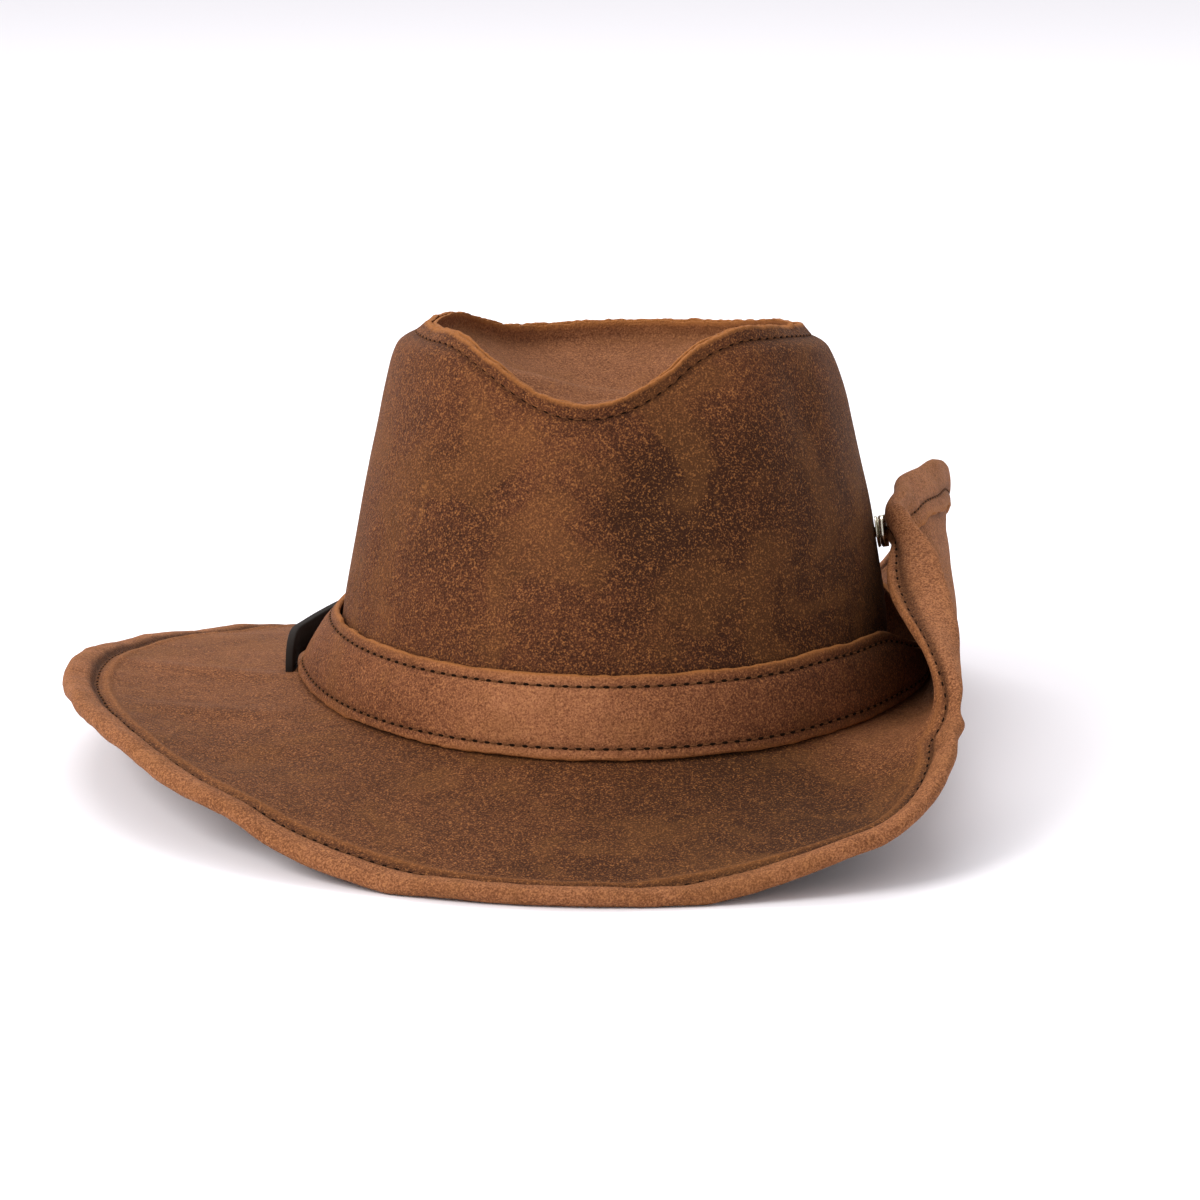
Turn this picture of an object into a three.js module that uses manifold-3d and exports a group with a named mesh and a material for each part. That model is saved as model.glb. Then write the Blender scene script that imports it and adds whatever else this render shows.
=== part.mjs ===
// A bush hat in waxed leather, with one side of the brim turned up and snapped to the crown.
// Millimetres, +Z up. The front of the hat faces -Y and the turned-up side faces +X.
// An azimuth is measured from +X towards +Y, so the front of the hat is at 270 degrees.
// The hat is worked out around the foot of the crown, and the finished group is then set on z = 0.

import * as THREE from 'three';
import { mergeVertices } from 'three/addons/utils/BufferGeometryUtils.js';
import Module from 'manifold-3d';

const wasm = await Module();
wasm.setup();

// Crown sizes
const crownHalfWidth = 86;
const crownHalfLength = 99;
const crownHeight = 109.5;
const crownLeather = 1.8;
const seamAllowance = 4.5;
const seamFlare = 0.4;
const tipHeight = 106;
const tipDip = 24;

// Brim sizes
const brimWidth = 80;
const brimDrop = 23.5;
const brimLeather = 2;
const hemWidth = 15;
const hemRoll = 2;
const restWidth = 4;

// Band sizes
const bandWidth = 24.5;
const bandLeather = 2.2;
const bandBow = 1;

// Chin strap sizes
const strapWidth = 9;
const strapThickness = 2.6;
const strapEnd = 13;
const slitReach = 10;

// Press snap sizes
const snapInset = 12;
const snapRadius = 5;
const snapCapRadius = 6.5;
const snapCapThickness = 1.6;
const snapCapFlat = 4.5;
const snapShankRadius = 1.6;
const snapStudRadius = 2;
const snapStudHeight = 1.3;
const snapFlange = 0.8;
const snapSpread = 13;

// The gap left between pieces that touch
const gap = 0.3;

// Turns at which the rolled edge of the hem is divided, from its top to its underside
const hemTurns = [50, 10, -30, -65];

// How finely the leather is divided round the hat, out along the brim and up the crown. Crowding moves the
// divisions towards the side where the brim curls up, by an angle.
const aroundCount = 72;
const crowding = 12;
const brimCount = 8;
const wallCount = 8;
const tipCount = 5;
const strapCount = 60;
const snapCount = 16;

function table(columns, rows) {
  return rows.map((row) => Object.fromEntries(columns.map((name, index) => [name, row[index]])));
}

// Brim sections. Each is one cubic curve out from the foot of the crown, given by its near handle, its far handle
// and the brim's edge, outwards and upwards, in shares of the brim width.
const brimSections = table(
  ['azimuth', 'nearOut', 'nearUp', 'farOut', 'farUp', 'edgeOut', 'edgeUp'],
  [
    [0, 0.54, -0.08, 0.08, 0.48, 0.02, 0.73],
    [15, 0.54, -0.08, 0.25, 0.49, 0.07, 0.72],
    [26, 0.50, -0.08, 0.41, 0.42, 0.24, 0.70],
    [36, 0.44, -0.08, 0.58, 0.30, 0.45, 0.68],
    [46, 0.38, -0.09, 0.69, 0.18, 0.68, 0.55],
    [55, 0.34, -0.10, 0.73, 0.02, 0.80, 0.26],
    [64, 0.32, -0.11, 0.70, -0.15, 0.94, -0.03],
    [76, 0.31, -0.11, 0.66, -0.21, 1.00, -0.22],
    [95, 0.31, -0.10, 0.65, -0.215, 1.00, -0.29],
    [120, 0.32, -0.08, 0.67, -0.195, 1.00, -0.27],
    [150, 0.34, -0.05, 0.70, -0.10, 1.02, -0.12],
    [180, 0.36, -0.03, 0.72, -0.05, 1.05, 0.04],
    [200, 0.36, -0.03, 0.72, -0.03, 1.04, 0.09],
    [215, 0.35, -0.05, 0.71, -0.06, 1.03, 0.07],
    [230, 0.33, -0.08, 0.69, -0.12, 1.00, -0.04],
    [248, 0.32, -0.10, 0.66, -0.19, 1.00, -0.21],
    [270, 0.31, -0.10, 0.65, -0.22, 1.01, -0.29],
    [288, 0.32, -0.10, 0.68, -0.21, 1.01, -0.21],
    [300, 0.34, -0.10, 0.73, -0.19, 1.01, -0.07],
    [308, 0.38, -0.10, 0.82, -0.14, 0.93, 0.07],
    [316, 0.44, -0.09, 0.90, -0.02, 0.74, 0.21],
    [326, 0.51, -0.09, 0.79, 0.20, 0.40, 0.37],
    [337, 0.54, -0.09, 0.52, 0.36, 0.15, 0.47],
    [348, 0.54, -0.08, 0.28, 0.46, 0.03, 0.60],
  ],
);

// The sewn rim of the crown. Reach is a share of the crown's foot, height a share of the crown height, and
// fullness says how late the wall turns inwards on its way up.
const rimSections = table(
  ['azimuth', 'reach', 'height', 'fullness'],
  [
    [0, 0.770, 1.00, 1.9],
    [30, 0.755, 0.95, 1.8],
    [60, 0.740, 0.90, 1.6],
    [90, 0.735, 0.88, 1.5],
    [130, 0.745, 0.89, 1.3],
    [150, 0.760, 0.94, 1.3],
    [180, 0.775, 1.00, 1.25],
    [205, 0.755, 1.02, 1.3],
    [226, 0.720, 1.01, 1.4],
    [237, 0.700, 0.965, 1.5],
    [249, 0.690, 0.90, 1.5],
    [263, 0.700, 0.86, 1.5],
    [278, 0.700, 0.875, 1.5],
    [290, 0.690, 0.93, 1.5],
    [301, 0.690, 1.00, 1.5],
    [313, 0.710, 1.04, 1.6],
    [330, 0.740, 1.04, 1.7],
    [345, 0.760, 1.03, 1.8],
  ],
);

// Dents in the wall of the crown. Height and tall are shares of the crown height, depth a share of its half
// width, and wide is an angle. A negative depth stands out.
const wallDents = table(
  ['azimuth', 'height', 'depth', 'wide', 'tall'],
  [
    [286, 0.74, 0.045, 13, 0.20],
    [296, 0.45, 0.022, 12, 0.20],
    [333, 0.86, 0.030, 8, 0.14],
    [250, 0.62, 0.020, 12, 0.22],
    [226, 0.74, -0.014, 10, 0.24],
    [122, 0.60, 0.024, 16, 0.22],
    [62, 0.58, 0.026, 16, 0.22],
  ],
);

// Creases in the dished top. Along and across are shares of the rim's reach towards the back and the right,
// lift is a share of the dip, and long and broad say how far each spreads.
const tipCreases = table(
  ['across', 'along', 'lift', 'long', 'broad'],
  [
    [-0.25, 0.30, 0.16, 0.50, 0.12],
    [0.10, -0.12, 0.18, 0.45, 0.12],
    [0.25, 0.62, -0.12, 0.40, 0.14],
  ],
);

// The band. Foot is how far its lower edge stands out from the foot of the crown, lean how far its upper edge
// stands off the wall, and rise how tall it is there, all as shares of the band width.
const bandSections = table(
  ['azimuth', 'foot', 'lean', 'rise'],
  [
    [5, 0.47, 0.36, 0.40],
    [16, 0.46, 0.36, 0.50],
    [26, 0.42, 0.30, 0.78],
    [44, 0.32, 0.18, 0.94],
    [70, 0.18, 0.04, 1.00],
    [100, 0.14, 0.02, 1.00],
    [140, 0.18, 0.02, 1.00],
    [158, 0.26, 0.02, 1.00],
    [170, 0.44, 0.03, 1.00],
    [180, 0.46, 0.03, 1.00],
    [192, 0.34, 0.02, 1.00],
    [220, 0.18, 0.02, 1.00],
    [255, 0.13, 0.02, 1.00],
    [300, 0.15, 0.02, 1.00],
    [330, 0.20, 0.04, 0.98],
    [345, 0.28, 0.10, 0.90],
    [356, 0.40, 0.26, 0.58],
  ],
);

// The chin strap's way from the left slit round the back of the crown to the right slit. Out is how far its
// middle stands out from the foot of the crown and up its height above the brim, as shares of the band width.
const strapRoute = table(
  ['azimuth', 'out', 'up'],
  [
    [179, 0.64, 0],
    [179, 0.64, 0.08],
    [178.4, 0.64, 0.20],
    [177, 0.64, 0.28],
    [174.5, 0.64, 0.31],
    [171, 0.62, 0.31],
    [165, 0.58, 0.33],
    [158, 0.53, 0.37],
    [148, 0.58, 0.40],
    [134, 0.82, 0.36],
    [116, 1.10, 0.27],
    [95, 1.25, 0.23],
    [74, 1.22, 0.23],
    [56, 1.02, 0.25],
    [42, 0.82, 0.27],
    [31, 0.71, 0.28],
    [23, 0.67, 0.30],
    [18, 0.67, 0.28],
    [16.6, 0.67, 0.20],
    [16, 0.67, 0.08],
    [16, 0.67, 0],
  ],
);

const strapEnds = [strapRoute[0], strapRoute[strapRoute.length - 1]];

const radians = THREE.MathUtils.degToRad;

// A smooth closed curve through one column of a table
function roundTable(rows, column) {
  const count = rows.length;
  const at = rows.map((row) => row.azimuth);
  const value = rows.map((row) => row[column]);
  const span = at.map((azimuth, i) => (i + 1 < count ? at[i + 1] : at[0] + 360) - azimuth);
  const rate = value.map((here, i) => (value[(i + 1) % count] - here) / span[i]);
  const slope = value.map((here, i) => {
    const before = (i + count - 1) % count;
    return (rate[before] * span[i] + rate[i] * span[before]) / (span[i] + span[before]);
  });
  return (azimuth) => {
    const turned = THREE.MathUtils.euclideanModulo(azimuth - at[0], 360) + at[0];
    let i = count - 1;
    while (at[i] > turned) i -= 1;
    const next = (i + 1) % count;
    const t = (turned - at[i]) / span[i];
    return value[i] * (1 + 2 * t) * (1 - t) ** 2 + slope[i] * span[i] * t * (1 - t) ** 2
      + value[next] * t * t * (3 - 2 * t) - slope[next] * span[i] * t * t * (1 - t);
  };
}

function roundTables(rows) {
  const columns = Object.keys(rows[0]).filter((name) => name !== 'azimuth');
  const curves = columns.map((name) => [name, roundTable(rows, name)]);
  return (azimuth) => Object.fromEntries(curves.map(([name, curve]) => [name, curve(azimuth)]));
}

const brimAt = roundTables(brimSections);
const rimAt = roundTables(rimSections);
const bandAt = roundTables(bandSections);

// The foot of the crown is an oval. A place near it is given by azimuth, distance out and height.
function footPoint(azimuth, out, up) {
  const angle = radians(azimuth);
  const normal = footNormal(azimuth);
  return new THREE.Vector3(
    crownHalfWidth * Math.cos(angle) + out * normal.x,
    crownHalfLength * Math.sin(angle) + out * normal.y,
    up,
  );
}

function footNormal(azimuth) {
  const angle = radians(azimuth);
  return new THREE.Vector3(crownHalfLength * Math.cos(angle), crownHalfWidth * Math.sin(angle), 0).normalize();
}

function bell(offset, spread) {
  return Math.exp(-((offset / spread) ** 2));
}

function turnBetween(a, b) {
  return THREE.MathUtils.euclideanModulo(a - b + 180, 360) - 180;
}

// The outer face of the crown's wall at a share of its height, with inward thickness taken off
function wallPoint(azimuth, share, inward = 0) {
  const rim = rimAt(azimuth);
  const upward = Math.min(share, 1);
  const scale = 1 - (1 - rim.reach) * upward ** rim.fullness;
  const height = rim.height * crownHeight;
  const point = footPoint(azimuth, 0, 0).multiplyScalar(scale);
  let depth = inward;
  for (const dent of wallDents) {
    depth += dent.depth * crownHalfWidth * bell(turnBetween(azimuth, dent.azimuth), dent.wide)
      * bell(upward - dent.height, dent.tall) * Math.sqrt(Math.sin(Math.PI * upward));
  }
  point.addScaledVector(footNormal(azimuth), -depth);
  point.z = height * upward + (share - upward) * crownHeight;
  return point;
}

// How far the wall's outer face stands out from the crown's foot at a height in millimetres
function wallOut(azimuth, height) {
  const share = height / (rimAt(azimuth).height * crownHeight);
  const foot = footPoint(azimuth, 0, 0);
  const point = wallPoint(azimuth, share);
  return point.sub(foot).dot(footNormal(azimuth));
}

// How much the wall leans inwards at a height, as a slope measured over a span of its height
function wallLean(azimuth, height, span) {
  return (wallOut(azimuth, height - span / 2) - wallOut(azimuth, height + span / 2)) / span;
}

// The brim's upper face along one section, as points spaced evenly along its length
function plainBrimCurve(azimuth) {
  const row = brimAt(azimuth);
  const steps = 40;
  const curve = new THREE.CubicBezierCurve(
    new THREE.Vector2(0, 0),
    new THREE.Vector2(row.nearOut, row.nearUp).multiplyScalar(brimWidth),
    new THREE.Vector2(row.farOut, row.farUp).multiplyScalar(brimWidth),
    new THREE.Vector2(row.edgeOut, row.edgeUp).multiplyScalar(brimWidth),
  );
  curve.arcLengthDivisions = steps;
  return curve;
}

// Snap places, along the snap's axis from the outer face of the crown's wall
const snapPlaces = (() => {
  const flangeFace = gap + snapFlange;
  const studTop = flangeFace + snapStudHeight;
  const socketBack = studTop + gap + snapFlange;
  const brimFace = socketBack + gap;
  const capFace = brimFace + 2 * brimLeather + gap;
  return { flangeFace, studTop, socketFace: flangeFace + gap, socketBack, brimFace, capFace };
})();

// Where the snap holds the brim: its height, the wall's face and lean there, and how far out the brim's face is
const snapSeat = (() => {
  const curve = plainBrimCurve(0);
  const up = curve.getPointAt(1 - snapInset / curve.getLength()).y;
  const out = wallOut(0, up);
  const lean = Math.atan(wallLean(0, up, 2 * snapRadius));
  return { up, out, lean, brimOut: out + (snapPlaces.brimFace + brimLeather) / Math.cos(lean) };
})();

// A point of the brim, by share of its length out from the crown and height off its upper face. Round the snap
// the leather is drawn in until it lies along the crown's wall.
function brimPoint(azimuth, share, off = 0) {
  const curve = plainBrimCurve(azimuth);
  const point = curve.getPointAt(share);
  const tangent = curve.getTangentAt(share);
  const wallTangent = new THREE.Vector2(-Math.sin(snapSeat.lean), Math.cos(snapSeat.lean));
  const sideways = footPoint(azimuth, point.x, 0).y;
  const drawn = azimuth > 90 && azimuth < 270 ? 0
    : bell(Math.hypot(point.y - snapSeat.up, sideways), snapSpread);
  const flatOut = snapSeat.brimOut - (point.y - snapSeat.up) * Math.tan(snapSeat.lean);
  tangent.lerp(wallTangent, drawn).normalize();
  const out = THREE.MathUtils.lerp(point.x, flatOut, drawn) - off * tangent.y;
  const lowest = -brimDrop + Math.max(off + brimLeather, 0);
  const up = Math.max(point.y + off * tangent.x, lowest);
  return { out, up, point: footPoint(azimuth, out, up) };
}

// A closed body from rings of points. Where it isn't closed on itself, a fan covers each end.
function ringBody(rings, closed) {
  const size = rings[0].length;
  const points = rings.flat();
  const faces = [];
  const last = closed ? rings.length : rings.length - 1;
  for (let i = 0; i < last; i += 1) {
    for (let j = 0; j < size; j += 1) {
      const here = i * size;
      const there = ((i + 1) % rings.length) * size;
      const next = (j + 1) % size;
      faces.push(here + j, here + next, there + next, here + j, there + next, there + j);
    }
  }
  if (!closed) {
    const first = points.length;
    points.push(middleOf(rings[0]), middleOf(rings[rings.length - 1]));
    const start = (rings.length - 1) * size;
    for (let j = 0; j < size; j += 1) {
      const next = (j + 1) % size;
      faces.push(first, next, j, first + 1, start + j, start + next);
    }
  }
  return outward(points, faces);
}

function middleOf(ring) {
  return ring.reduce((sum, point) => sum.add(point), new THREE.Vector3()).divideScalar(ring.length);
}

// Turns the faces round if they point inwards
function outward(points, faces) {
  let volume = 0;
  for (let i = 0; i < faces.length; i += 3) {
    const [a, b, c] = [points[faces[i]], points[faces[i + 1]], points[faces[i + 2]]];
    volume += a.dot(new THREE.Vector3().crossVectors(b, c));
  }
  const geometry = new THREE.BufferGeometry().setFromPoints(points);
  geometry.setIndex(volume > 0 ? faces : [...faces].reverse());
  return geometry;
}

function solid(geometry) {
  const plain = geometry.clone();
  plain.deleteAttribute('normal');
  plain.deleteAttribute('uv');
  const merged = mergeVertices(plain, 1e-4);
  return new wasm.Manifold(new wasm.Mesh({
    numProp: 3,
    vertProperties: new Float32Array(merged.attributes.position.array),
    triVerts: new Uint32Array(merged.index.array),
  }));
}

function cut(geometry, tools) {
  let body = solid(geometry);
  for (const tool of tools) body = body.subtract(solid(tool));
  const mesh = body.getMesh();
  const result = new THREE.BufferGeometry();
  result.setAttribute('position', new THREE.BufferAttribute(mesh.vertProperties, 3));
  result.setIndex(new THREE.BufferAttribute(mesh.triVerts, 1));
  return result;
}

// Azimuths round the hat, closer together where the brim curls up
function azimuths() {
  const list = [];
  for (let i = 0; i < aroundCount; i += 1) {
    const even = (360 * i) / aroundCount;
    list.push(even - crowding * Math.sin(radians(even)));
  }
  return list;
}

function ringAt(place) {
  return azimuths().map(place);
}

function brimGeometry() {
  const rings = [];
  const seat = (up) => ringAt((azimuth) => footPoint(azimuth, -crownLeather, up));
  const ring = (inset, off) => ringAt((azimuth) => {
    const length = plainBrimCurve(azimuth).getLength();
    return brimPoint(azimuth, 1 - inset / length, off).point;
  });
  const inner = (share, off) => ringAt((azimuth) => {
    const length = plainBrimCurve(azimuth).getLength();
    return brimPoint(azimuth, share * (1 - hemWidth / length), off).point;
  });
  rings.push(seat(0));
  for (let i = 0; i <= brimCount; i += 1) rings.push(inner(i / brimCount, 0));
  rings.push(ring(hemWidth - gap, brimLeather), ring(hemWidth / 2, brimLeather), ring(hemRoll, brimLeather));
  for (const turn of hemTurns) {
    const sideways = hemRoll * Math.cos(radians(turn));
    rings.push(ring(hemRoll - sideways, brimLeather * Math.sin(radians(turn))));
  }
  rings.push(ring(hemRoll, -brimLeather), ring(hemRoll + restWidth, -brimLeather));
  for (let i = brimCount; i >= 0; i -= 1) rings.push(inner(i / brimCount, -brimLeather));
  rings.push(seat(-brimLeather));
  return ringBody(rings, true);
}

// Shares of the crown's height at which its wall is divided, with one just below the rim for the top panel
function wallShares() {
  const shares = [];
  for (let i = 0; i < wallCount; i += 1) shares.push(i / wallCount);
  return [...shares, 1 - crownLeather / crownHeight, 1];
}

function crownSideGeometry() {
  const allowance = seamAllowance / crownHeight;
  const shares = wallShares();
  const rings = [];
  const ring = (share, inward) => ringAt((azimuth) => {
    const point = wallPoint(azimuth, share, inward);
    if (share === 0) point.z = gap;
    return point;
  });
  for (const share of shares) rings.push(ring(share, 0));
  rings.push(ring(1 + allowance, -seamFlare), ring(1 + allowance, crownLeather - seamFlare));
  for (const share of [...shares].reverse()) rings.push(ring(share, crownLeather));
  return ringBody(rings, true);
}

// The dished top, by its share out from the middle to the rim
function tipPoint(azimuth, share, down = 0) {
  const rim = wallPoint(azimuth, 1, crownLeather + gap);
  const angle = radians(azimuth);
  const across = share * Math.cos(angle);
  const along = share * Math.sin(angle);
  let dip = tipDip * (1 - share ** 2.4);
  for (const crease of tipCreases) {
    const fade = Math.max(1 - share ** 4, 0);
    dip -= crease.lift * tipDip * fade * bell(across - crease.across, crease.long)
      * bell(along - crease.along, crease.broad);
  }
  const up = tipHeight + (rim.z - tipHeight) * share ** 2 - dip - down;
  return new THREE.Vector3(rim.x * share, rim.y * share, up);
}

function crownTipGeometry() {
  const rings = [];
  const inwards = crownLeather + gap;
  const allowance = seamAllowance / crownHeight;
  const flange = (share, inward) => ringAt((azimuth) => wallPoint(azimuth, share, inwards + inward));
  const inset = 1 - crownLeather / (crownHalfWidth * rimAt(0).reach);
  for (let i = 1; i < tipCount; i += 1) {
    rings.push(ringAt((azimuth) => tipPoint(azimuth, (i / tipCount) * inset, crownLeather)));
  }
  rings.push(ringAt((azimuth) => tipPoint(azimuth, inset, crownLeather)));
  rings.push(flange(1 - crownLeather / crownHeight, 0), flange(1, 0), flange(1 + allowance, -seamFlare));
  rings.push(flange(1 + allowance, crownLeather - seamFlare), flange(1, crownLeather));
  for (let i = tipCount - 1; i > 0; i -= 1) {
    rings.push(ringAt((azimuth) => tipPoint(azimuth, (i / tipCount) * inset)));
  }
  return ringBody(rings, false);
}

// The share of the brim's length at which it reaches a distance out from the crown's foot
function brimShare(azimuth, out) {
  let low = 0;
  let high = 0.5;
  for (let i = 0; i < 14; i += 1) {
    const middle = (low + high) / 2;
    if (brimPoint(azimuth, middle).out < out) low = middle;
    else high = middle;
  }
  return (low + high) / 2;
}

function brimHeight(azimuth, out) {
  return brimPoint(azimuth, brimShare(azimuth, out)).up;
}

// One section of the band: its inner face from foot to top, as distance out and height
function bandLine(azimuth) {
  const row = bandAt(azimuth);
  const footOut = row.foot * bandWidth;
  const footUp = Math.max(brimHeight(azimuth, footOut), brimHeight(azimuth, footOut + bandLeather)) + gap;
  let topUp = footUp + row.rise * bandWidth;
  let topOut = footOut;
  for (let tries = 0; tries < 6; tries += 1) {
    topOut = wallOut(azimuth, topUp) + gap + row.lean * bandWidth;
    const lean = footOut - topOut;
    topUp = footUp + Math.sqrt(Math.max((row.rise * bandWidth) ** 2 - lean ** 2, 1));
  }
  return { foot: new THREE.Vector2(footOut, footUp), top: new THREE.Vector2(topOut, topUp) };
}

function hatBandGeometry() {
  const place = (share, outer) => ringAt((azimuth) => {
    const line = bandLine(azimuth);
    const along = line.top.clone().sub(line.foot);
    const side = new THREE.Vector2(along.y, -along.x).normalize();
    const bow = bandBow * Math.sin(Math.PI * share);
    const spot = line.foot.clone().addScaledVector(along, share).addScaledVector(side, outer + bow);
    return footPoint(azimuth, spot.x, spot.y);
  });
  const rings = [
    place(0, 0), place(0.5, 0), place(1, 0), place(1, bandLeather), place(0.5, bandLeather), place(0, bandLeather),
  ];
  return ringBody(rings, true);
}

// A place on the strap's way
function strapPlace(row) {
  const out = row.out * bandWidth;
  const brimUp = brimHeight(row.azimuth, out);
  return { place: footPoint(row.azimuth, out, brimUp + row.up * bandWidth), face: footNormal(row.azimuth) };
}

// The stops of the strap's end, from its tip to the slit in the brim. The end lies flat under the brim and points
// to the head. Each stop has a place and the direction that the strap's outer face looks in.
function strapTail(row) {
  const out = row.out * bandWidth;
  const drop = brimLeather + gap + strapThickness / 2;
  const under = (back) => brimPoint(row.azimuth, brimShare(row.azimuth, out - back), -drop).point;
  const normal = footNormal(row.azimuth);
  const down = new THREE.Vector3(0, 0, -1);
  const turn = normal.clone().add(down).normalize();
  const top = brimHeight(row.azimuth, out);
  return [
    { place: under(strapEnd), face: down },
    { place: under(strapEnd / 2), face: down },
    { place: under(strapEnd / 4), face: down },
    { place: footPoint(row.azimuth, out - strapThickness / 3, top - drop - gap), face: turn },
    { place: footPoint(row.azimuth, out, top - brimLeather), face: normal },
  ];
}

function chinStrapGeometry() {
  const [first, last] = strapEnds.map(strapTail);
  const stops = [...first, ...strapRoute.map(strapPlace), ...last.reverse()];
  const route = new THREE.CatmullRomCurve3(stops.map((stop) => stop.place), false, 'centripetal');
  const faces = new THREE.CatmullRomCurve3(stops.map((stop) => stop.face), false, 'centripetal');
  const rings = [];
  for (let i = 0; i <= strapCount; i += 1) {
    const t = i / strapCount;
    const centre = route.getPoint(t);
    const forward = route.getTangent(t);
    const across = new THREE.Vector3().crossVectors(forward, faces.getPoint(t)).normalize();
    const side = new THREE.Vector3().crossVectors(across, forward).normalize();
    const corner = (a, b) => centre.clone()
      .addScaledVector(across, (a * strapWidth) / 2)
      .addScaledVector(side, (b * strapThickness) / 2);
    rings.push([corner(-1, -1), corner(1, -1), corner(1, 1), corner(-1, 1)]);
  }
  return ringBody(rings, false);
}

// Cuts the slit through which a strap end passes the brim
function slitTool(row) {
  const tool = new THREE.BoxGeometry(strapThickness + 2 * gap, strapWidth + 2 * gap, slitReach);
  const { place, face } = strapPlace(row);
  tool.rotateZ(Math.atan2(face.y, face.x));
  tool.translate(place.x, place.y, place.z - brimLeather / 2);
  return tool;
}

// Turns a profile of radius and distance along the snap's axis into a body at the snap's seat
function snapBody(profile) {
  const body = new THREE.LatheGeometry(profile.map(([radius, along]) => new THREE.Vector2(radius, along)), snapCount);
  const seat = footPoint(0, snapSeat.out, snapSeat.up);
  body.rotateZ(-Math.PI / 2 + snapSeat.lean);
  body.rotateX(Math.PI / 2);
  body.translate(seat.x, seat.y, seat.z);
  return body;
}

function snapStudProfile(grow) {
  const back = -crownLeather - gap - snapFlange;
  return [
    [0, back - grow],
    [snapRadius + grow, back - grow],
    [snapRadius + grow, back + snapFlange + grow],
    [snapShankRadius + grow, back + snapFlange + grow],
    [snapShankRadius + grow, gap - grow],
    [snapRadius + grow, gap - grow],
    [snapRadius + grow, snapPlaces.flangeFace + grow],
    [snapStudRadius, snapPlaces.flangeFace + grow],
    [snapStudRadius, snapPlaces.studTop + grow],
    [0, snapPlaces.studTop + grow],
  ];
}

function snapSocketProfile() {
  const hollow = snapStudRadius + gap;
  const { socketFace, socketBack, studTop, capFace } = snapPlaces;
  return [
    [0, studTop + gap],
    [hollow, studTop + gap],
    [hollow, socketFace],
    [snapRadius, socketFace],
    [snapRadius, socketBack],
    [snapShankRadius, socketBack],
    [snapShankRadius, capFace],
    [snapCapRadius, capFace],
    [snapCapRadius, capFace + snapCapThickness / 2],
    [snapCapFlat, capFace + snapCapThickness],
    [0, capFace + snapCapThickness],
  ];
}

// The hole in the brim for the shank of the socket, with a flat seat for the disc and for the cap
function snapHoleProfile() {
  const { socketFace, socketBack, capFace } = snapPlaces;
  return [
    [0, socketFace - gap],
    [snapRadius + gap, socketFace - gap],
    [snapRadius + gap, socketBack + gap],
    [snapShankRadius + gap, socketBack + gap],
    [snapShankRadius + gap, capFace - gap],
    [snapCapRadius + gap, capFace - gap],
    [snapCapRadius + gap, capFace + snapCapThickness + gap],
    [0, capFace + snapCapThickness + gap],
  ];
}

function leather(color) {
  return new THREE.MeshStandardMaterial({ color, roughness: 0.82, metalness: 0, flatShading: true });
}

const darkWaxed = leather(0x5e3824);
const waxed = leather(0x6a412f);
const pale = leather(0x9a6342);
const black = leather(0x2a221f);
const metal = new THREE.MeshStandardMaterial({ color: 0xe6e0d0, roughness: 0.3, metalness: 0.9 });

function piece(name, geometry, material) {
  const plain = geometry.index ? geometry.toNonIndexed() : geometry;
  plain.deleteAttribute('normal');
  plain.deleteAttribute('uv');
  const merged = mergeVertices(plain, 1e-4);
  merged.computeVertexNormals();
  const mesh = new THREE.Mesh(merged, material);
  mesh.name = name;
  return mesh;
}

const slits = strapEnds.map(slitTool);

const pieces = [
  piece('brim', cut(brimGeometry(), [...slits, snapBody(snapHoleProfile())]), darkWaxed),
  piece('crown_side', cut(crownSideGeometry(), [snapBody(snapStudProfile(gap))]), waxed),
  piece('crown_tip', crownTipGeometry(), pale),
  piece('hat_band', hatBandGeometry(), pale),
  piece('chin_strap', chinStrapGeometry(), black),
  piece('snap_socket', snapBody(snapSocketProfile()), metal),
  piece('snap_stud', snapBody(snapStudProfile(0)), metal),
];

// The hat stands on z = 0, with the middle of its outline over the origin
function standing(meshes) {
  const hat = new THREE.Group();
  hat.add(...meshes);
  const box = new THREE.Box3().setFromObject(hat);
  const middle = box.getCenter(new THREE.Vector3());
  hat.position.set(-middle.x, -middle.y, -box.min.z);
  return hat;
}

export default standing(pieces);
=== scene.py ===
"""The looks of a waxed leather bush hat with one side of its brim turned up and snapped to the crown.

The shapes are worked out in millimetres round the foot of the crown and then set down in metres. The hat's
front faces -Y and its turned-up side faces +X. An azimuth is measured from +X towards +Y.
"""

import itertools
import math

import bpy
import numpy as np
from mathutils import Matrix, Vector


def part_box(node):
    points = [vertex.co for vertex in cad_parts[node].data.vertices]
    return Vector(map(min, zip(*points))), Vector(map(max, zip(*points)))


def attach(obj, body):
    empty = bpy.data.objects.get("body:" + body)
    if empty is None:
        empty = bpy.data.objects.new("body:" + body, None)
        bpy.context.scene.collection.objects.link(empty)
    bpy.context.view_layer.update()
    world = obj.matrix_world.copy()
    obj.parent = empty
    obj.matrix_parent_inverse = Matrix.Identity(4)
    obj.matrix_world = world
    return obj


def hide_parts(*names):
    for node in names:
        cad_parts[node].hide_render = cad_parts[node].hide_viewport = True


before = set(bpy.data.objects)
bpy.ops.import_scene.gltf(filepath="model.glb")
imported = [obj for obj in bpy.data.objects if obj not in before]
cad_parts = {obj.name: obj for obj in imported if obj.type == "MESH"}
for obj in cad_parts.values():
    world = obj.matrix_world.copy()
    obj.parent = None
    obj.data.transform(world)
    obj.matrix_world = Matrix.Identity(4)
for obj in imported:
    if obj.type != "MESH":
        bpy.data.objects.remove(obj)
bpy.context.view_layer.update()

# Crown sizes
crown_half_width = 86.0
crown_half_length = 99.0
crown_height = 109.5
crown_leather = 1.8
seam_allowance = 4.5
seam_flare = 0.4
shoulder_power = 45
allowance_lean = 0.7
allowance_droop = 6
rim_groove = 0.5
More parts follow.
